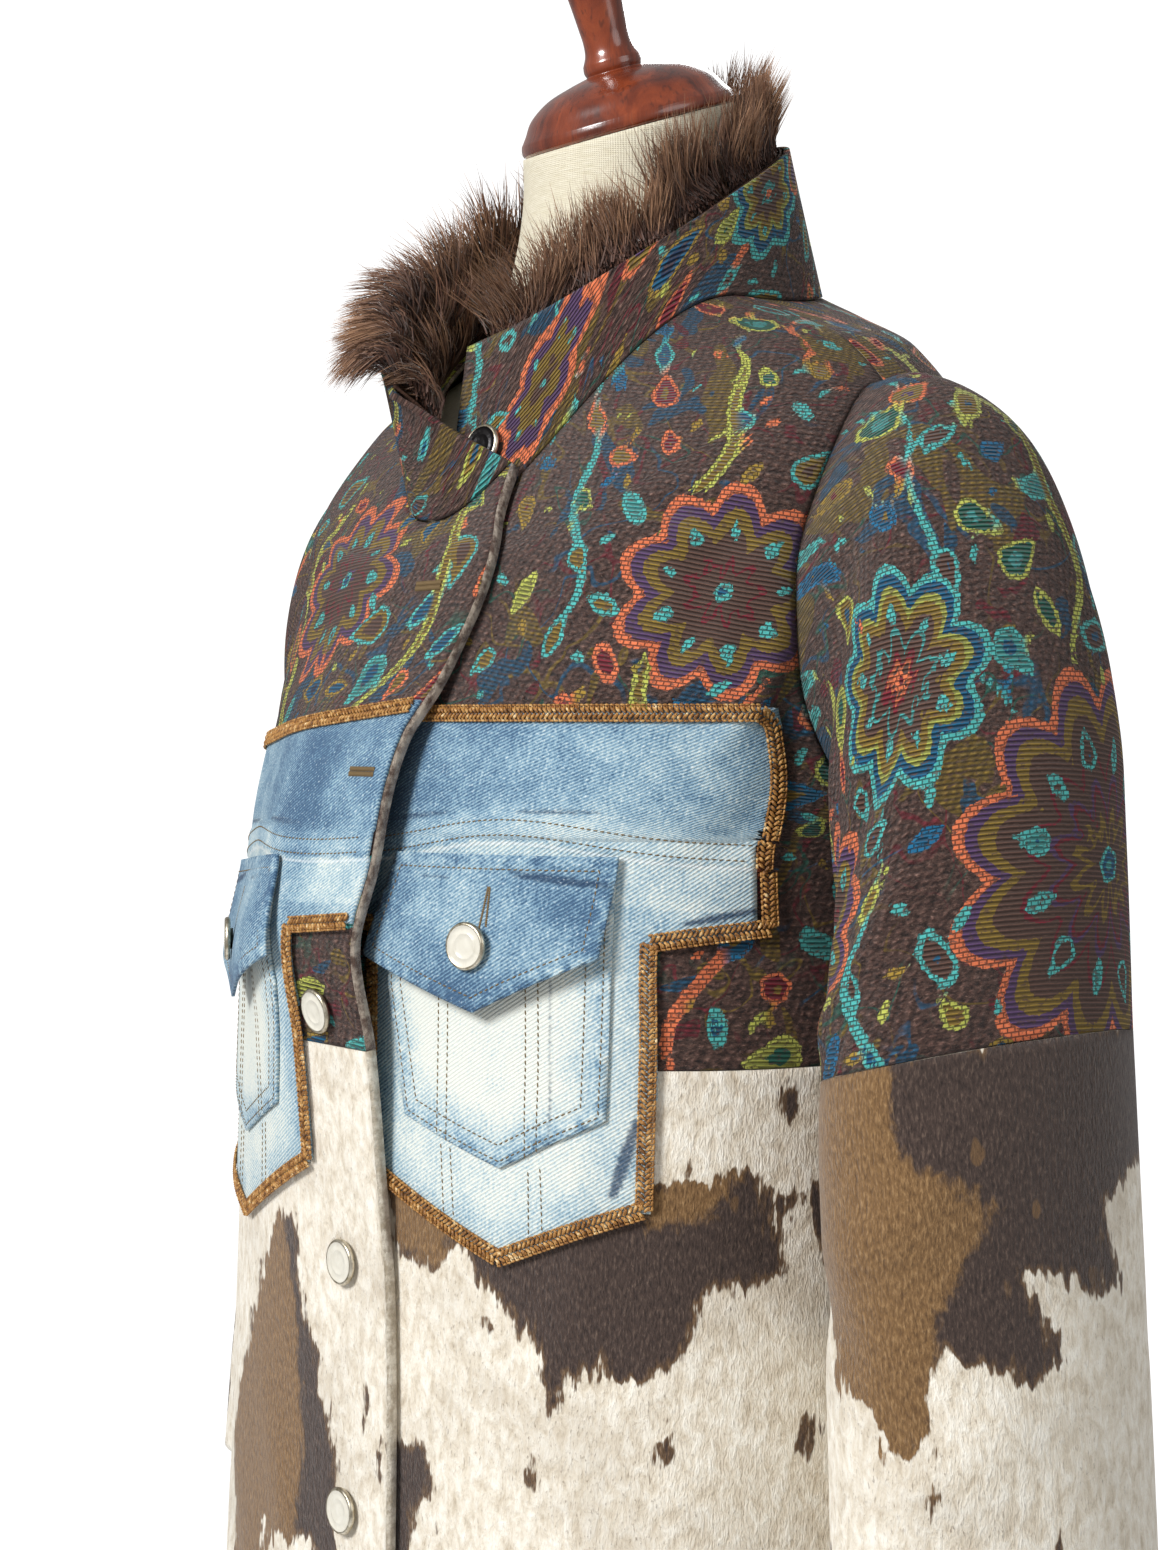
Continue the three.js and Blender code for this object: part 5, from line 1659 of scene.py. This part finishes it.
def denim_pattern(sheet, kind, hand):
    """Fading with painted shade, dark marks of indigo and painted shadow, distance in from the edge and from
    the seam's fold, kept on the vertices.
    """
    place = sheet.places() / MM
    x, z = place[:, 0], place[:, 2]
    if hand == "right":
        x = -x
        z = z + RIGHT_SLOPE * x
    edge = signed_distance({"denim": DENIM, "pocket": POCKET, "flap": FLAP}[kind], x, z)
    # Dark marks: dark indigo, and painted shadow above the seam, along the flap's top and down the pocket
    dark = np.full(len(x), -12.0)
    for ax, az, bx, bz, wide in SHADE_AND_INDIGO_MARKS[kind]:
        t = ((x - ax) * (bx - ax) + (z - az) * (bz - az)) / ((bx - ax) ** 2 + (bz - az) ** 2)
        t = np.clip(t, 0, 1)
        off = np.hypot(x - ax - t * (bx - ax), z - az - t * (bz - az))
        dark = np.maximum(dark, wide * (0.6 + 0.4 * np.sin(3.1 * t)) - off)
    below = seam_height(x) - 10 - z
    is_patch = kind == "denim"
    mesh = sheet.obj.data
    add_floats(mesh, "fade_and_shade", fading(kind, x, z, edge, below))
    add_floats(mesh, "dark", dark)
    add_floats(mesh, "edge", np.full(len(x), 9.0) if is_patch else np.where(edge < 0, 0, edge))
    add_floats(mesh, "fold", z - (seam_height(x) - 11.5) if is_patch else np.full(len(x), 20.0))


for hand in ("left", "right"):
    for kind in ("denim", "pocket", "flap"):
        denim_pattern(panels[f"{kind}_{hand}"], kind, hand)


# Stitching: rows of small slanted stitches over the denim, as points across and up the left front
def moved_in(rows, distance):
    """An outline's corners moved in by a distance."""
    middle = [sum(c) / len(rows) for c in zip(*rows)]
    out = []
    for k, corner in enumerate(rows):
        a, b = rows[k - 1], rows[(k + 1) % len(rows)]
        m = np.array([corner[1] - a[1], a[0] - corner[0]], float)
        n = np.array([b[1] - corner[1], corner[0] - b[0]], float)
        m, n = m / np.linalg.norm(m), n / np.linalg.norm(n)
        if np.dot(m, np.array(corner) - middle) < 0:
            m, n = -m, -n
        out.append(tuple(np.array(corner) - (m + n) * distance / (1 + np.dot(m, n))))
    return out


def seam_row(drop, first, last):
    return [(float(x), float(seam_height(x) - drop)) for x in np.linspace(first, last, 24)]


pocket_near, pocket_far, flap_near = moved_in(POCKET, 2.6), moved_in(POCKET, 9.0), moved_in(FLAP, 6.0)
STITCHES = [
    ("denim", seam_row(1.5, -40, 175)), ("denim", seam_row(8.0, -40, 175)),
    ("pocket", pocket_near[:6]), ("pocket", pocket_far[:6]),
    ("pocket", [(62, 1100), (63, 1022)]), ("pocket", [(67.5, 1100), (68.5, 1020)]),
    ("pocket", [(107, 1100), (109, 1017)]), ("pocket", [(112.5, 1100), (114.5, 1019)]),
    ("denim", [(63.5, 1018), (66, 989)]), ("denim", [(69, 1017), (72, 986)]),
    ("denim", [(109, 1011), (110, 980)]), ("denim", [(114.5, 1013), (116, 982)]),
    ("flap", flap_near[:5] + flap_near[:1]),
    ("flap", [(91, 1130), (90.2, 1112)]), ("flap", [(91.8, 1130), (93.4, 1113)]),
]
THREAD_RISE, STITCH_PITCH, CLOSE_PITCH = 0.12, 3.0, 0.9
STITCH, CLOSE_STITCH = (1.15, 0.34, 0.32), (1.0, 0.42, 0.5)
STITCHED_HEIGHT, EDGE_FREE = 1140.0, 5


def thread_height(kind, hand):
    """How far over a front a stitch lies: a length, or for the flap a function of height."""
    if kind == "flap":
        return lambda z: flap_height(hand, z) + DENIM_THICK + THREAD_RISE
    return (SEAM if kind == "denim" else OVER_DENIM) + DENIM_THICK + THREAD_RISE


def stitched(hand):
    """Every stitch of one front, the flap's buttonhole bars closer and more across their line."""
    right_edge, left_edge, _ = opening_at(STITCHED_HEIGHT)
    parts = []
    for kind, rows in STITCHES:
        close = kind == "flap" and len(rows) == 2
        if hand == "right":
            rows = [crossed(row) for row in rows]
        pitch, size = (CLOSE_PITCH, CLOSE_STITCH) if close else (STITCH_PITCH, STITCH)
        for place, along, out in zip(*line_on_front(hand, rows, pitch, thread_height(kind, hand))):
            past = place[0] > right_edge - EDGE_FREE if hand == "right" else place[0] < left_edge + EDGE_FREE
            if past:
                continue
            lean = along + np.cross(out, along) * (0.9 if close else 0.12)
            parts.append(frame_matrix(place, lean, out, size))
    belong(joined("stitching_" + hand, bead, [THREAD], parts), "braid")


stitched("left")
stitched("right")

# The worked holes of the right front: middle across, height and how far over the front each lies
HOLES = [(19, 1178, 2.0), (22, 1262, 0.3)]
HOLE_HALF, HOLE_BARS, HOLE_LIP = 9, 23, 1.1
BAR_SIZE, BAR_UP = (1.5, 0.42, 0.5), np.array([0.15, 0, 1.0])


def buttonholes():
    """Dense bars along both lips of slits that lie across."""
    parts = []
    for across, height, over in HOLES:
        x = across + np.linspace(-HOLE_HALF, HOLE_HALF, HOLE_BARS)
        for side in (-1, 1):
            lip = np.full(HOLE_BARS, float(height)) + side * HOLE_LIP
            for place, normal in zip(*front_at("right", x, lip, over)):
                parts.append(frame_matrix(place, BAR_UP, normal, BAR_SIZE))
    belong(joined("buttonholes", bead, [THREAD], parts), "braid")


buttonholes()

# Each cloth piece is ridden on the root and its node hidden
RESTS_ON = {"denim": "front_{}_yoke", "pocket": "denim_{}", "flap": "pocket_{}"}
for name, piece in panels.items():
    kind, hand = name.split("_")[0], name.split("_")[-1]
    if kind in RESTS_ON:
        piece.finish(name, "denim", RESTS_ON[kind].format(hand))
    else:
        piece.finish(name, "hide" if name.endswith(("skirt", "lower")) else "tapestry", "form_body")
fur_back.finish("collar_fur", "fur", "collar")

# Camera, lights and floor
AZIMUTH, AWAY, EYE, ASIDE = math.radians(51), 1.160, 1.201, 0.024
SENSOR, LENS, SHIFT_UP = 36, 54.12, -0.0355
toward = Vector((math.sin(AZIMUTH), -math.cos(AZIMUTH), 0))
right = Vector((math.cos(AZIMUTH), math.sin(AZIMUTH), 0))
camera = bpy.data.objects.new("camera", bpy.data.cameras.new("camera"))
camera.location = toward * AWAY - right * ASIDE + Vector((0, 0, EYE))
camera.rotation_euler = (math.radians(90), 0, AZIMUTH)
camera.data.sensor_width = SENSOR
camera.data.lens = LENS
camera.data.shift_y = SHIFT_UP
bpy.context.collection.objects.link(camera)
bpy.context.scene.camera = camera

LAMP_AIM = Vector((0, 0, 1.15))
FLOOR_RADIUS, SKY, SKY_SEEN = 1.6, 0.34, 0.8


def lamp(name, azimuth, height, distance, size, power):
    data = bpy.data.lights.new(name, "AREA")
    data.shape = "DISK"
    data.size = size
    data.energy = power
    obj = bpy.data.objects.new(name, data)
    a = math.radians(azimuth)
    obj.location = (math.sin(a) * distance, -math.cos(a) * distance, height)
    obj.rotation_euler = (LAMP_AIM - obj.location).to_track_quat("-Z", "Y").to_euler()
    bpy.context.collection.objects.link(obj)


lamp("key", 4, 2.5, 2.5, 1.0, 88)
lamp("fill", 95, 2.2, 3.0, 2.0, 21)
lamp("rim", 215, 2.5, 2.8, 1.5, 34)

bm = bmesh.new()
bmesh.ops.create_circle(bm, cap_ends=True, segments=96, radius=FLOOR_RADIUS)
floor_material, g, shader = node_material("floor")
pale = g.mix(g.noise(g.object_coords(), 3, 2), tone(246, 246, 246), tone(252, 252, 252))
finish_shader(shader, g, pale, 0.8)
new_object("floor", bm, [floor_material])

# A white sky that the camera sees brighter than it lights
world = bpy.data.worlds.new("studio")
bpy.context.scene.world = world
world.use_nodes = True
sky = Graph(world.node_tree)
background = world.node_tree.nodes["Background"]
sky.put(background.inputs[0], (1, 1, 1, 1))
seen = sky.new("LightPath").outputs["Is Camera Ray"]
sky.put(background.inputs[1], sky.plus(SKY, sky.times(seen, SKY_SEEN)))
bpy.context.scene.view_settings.view_transform = "Standard"
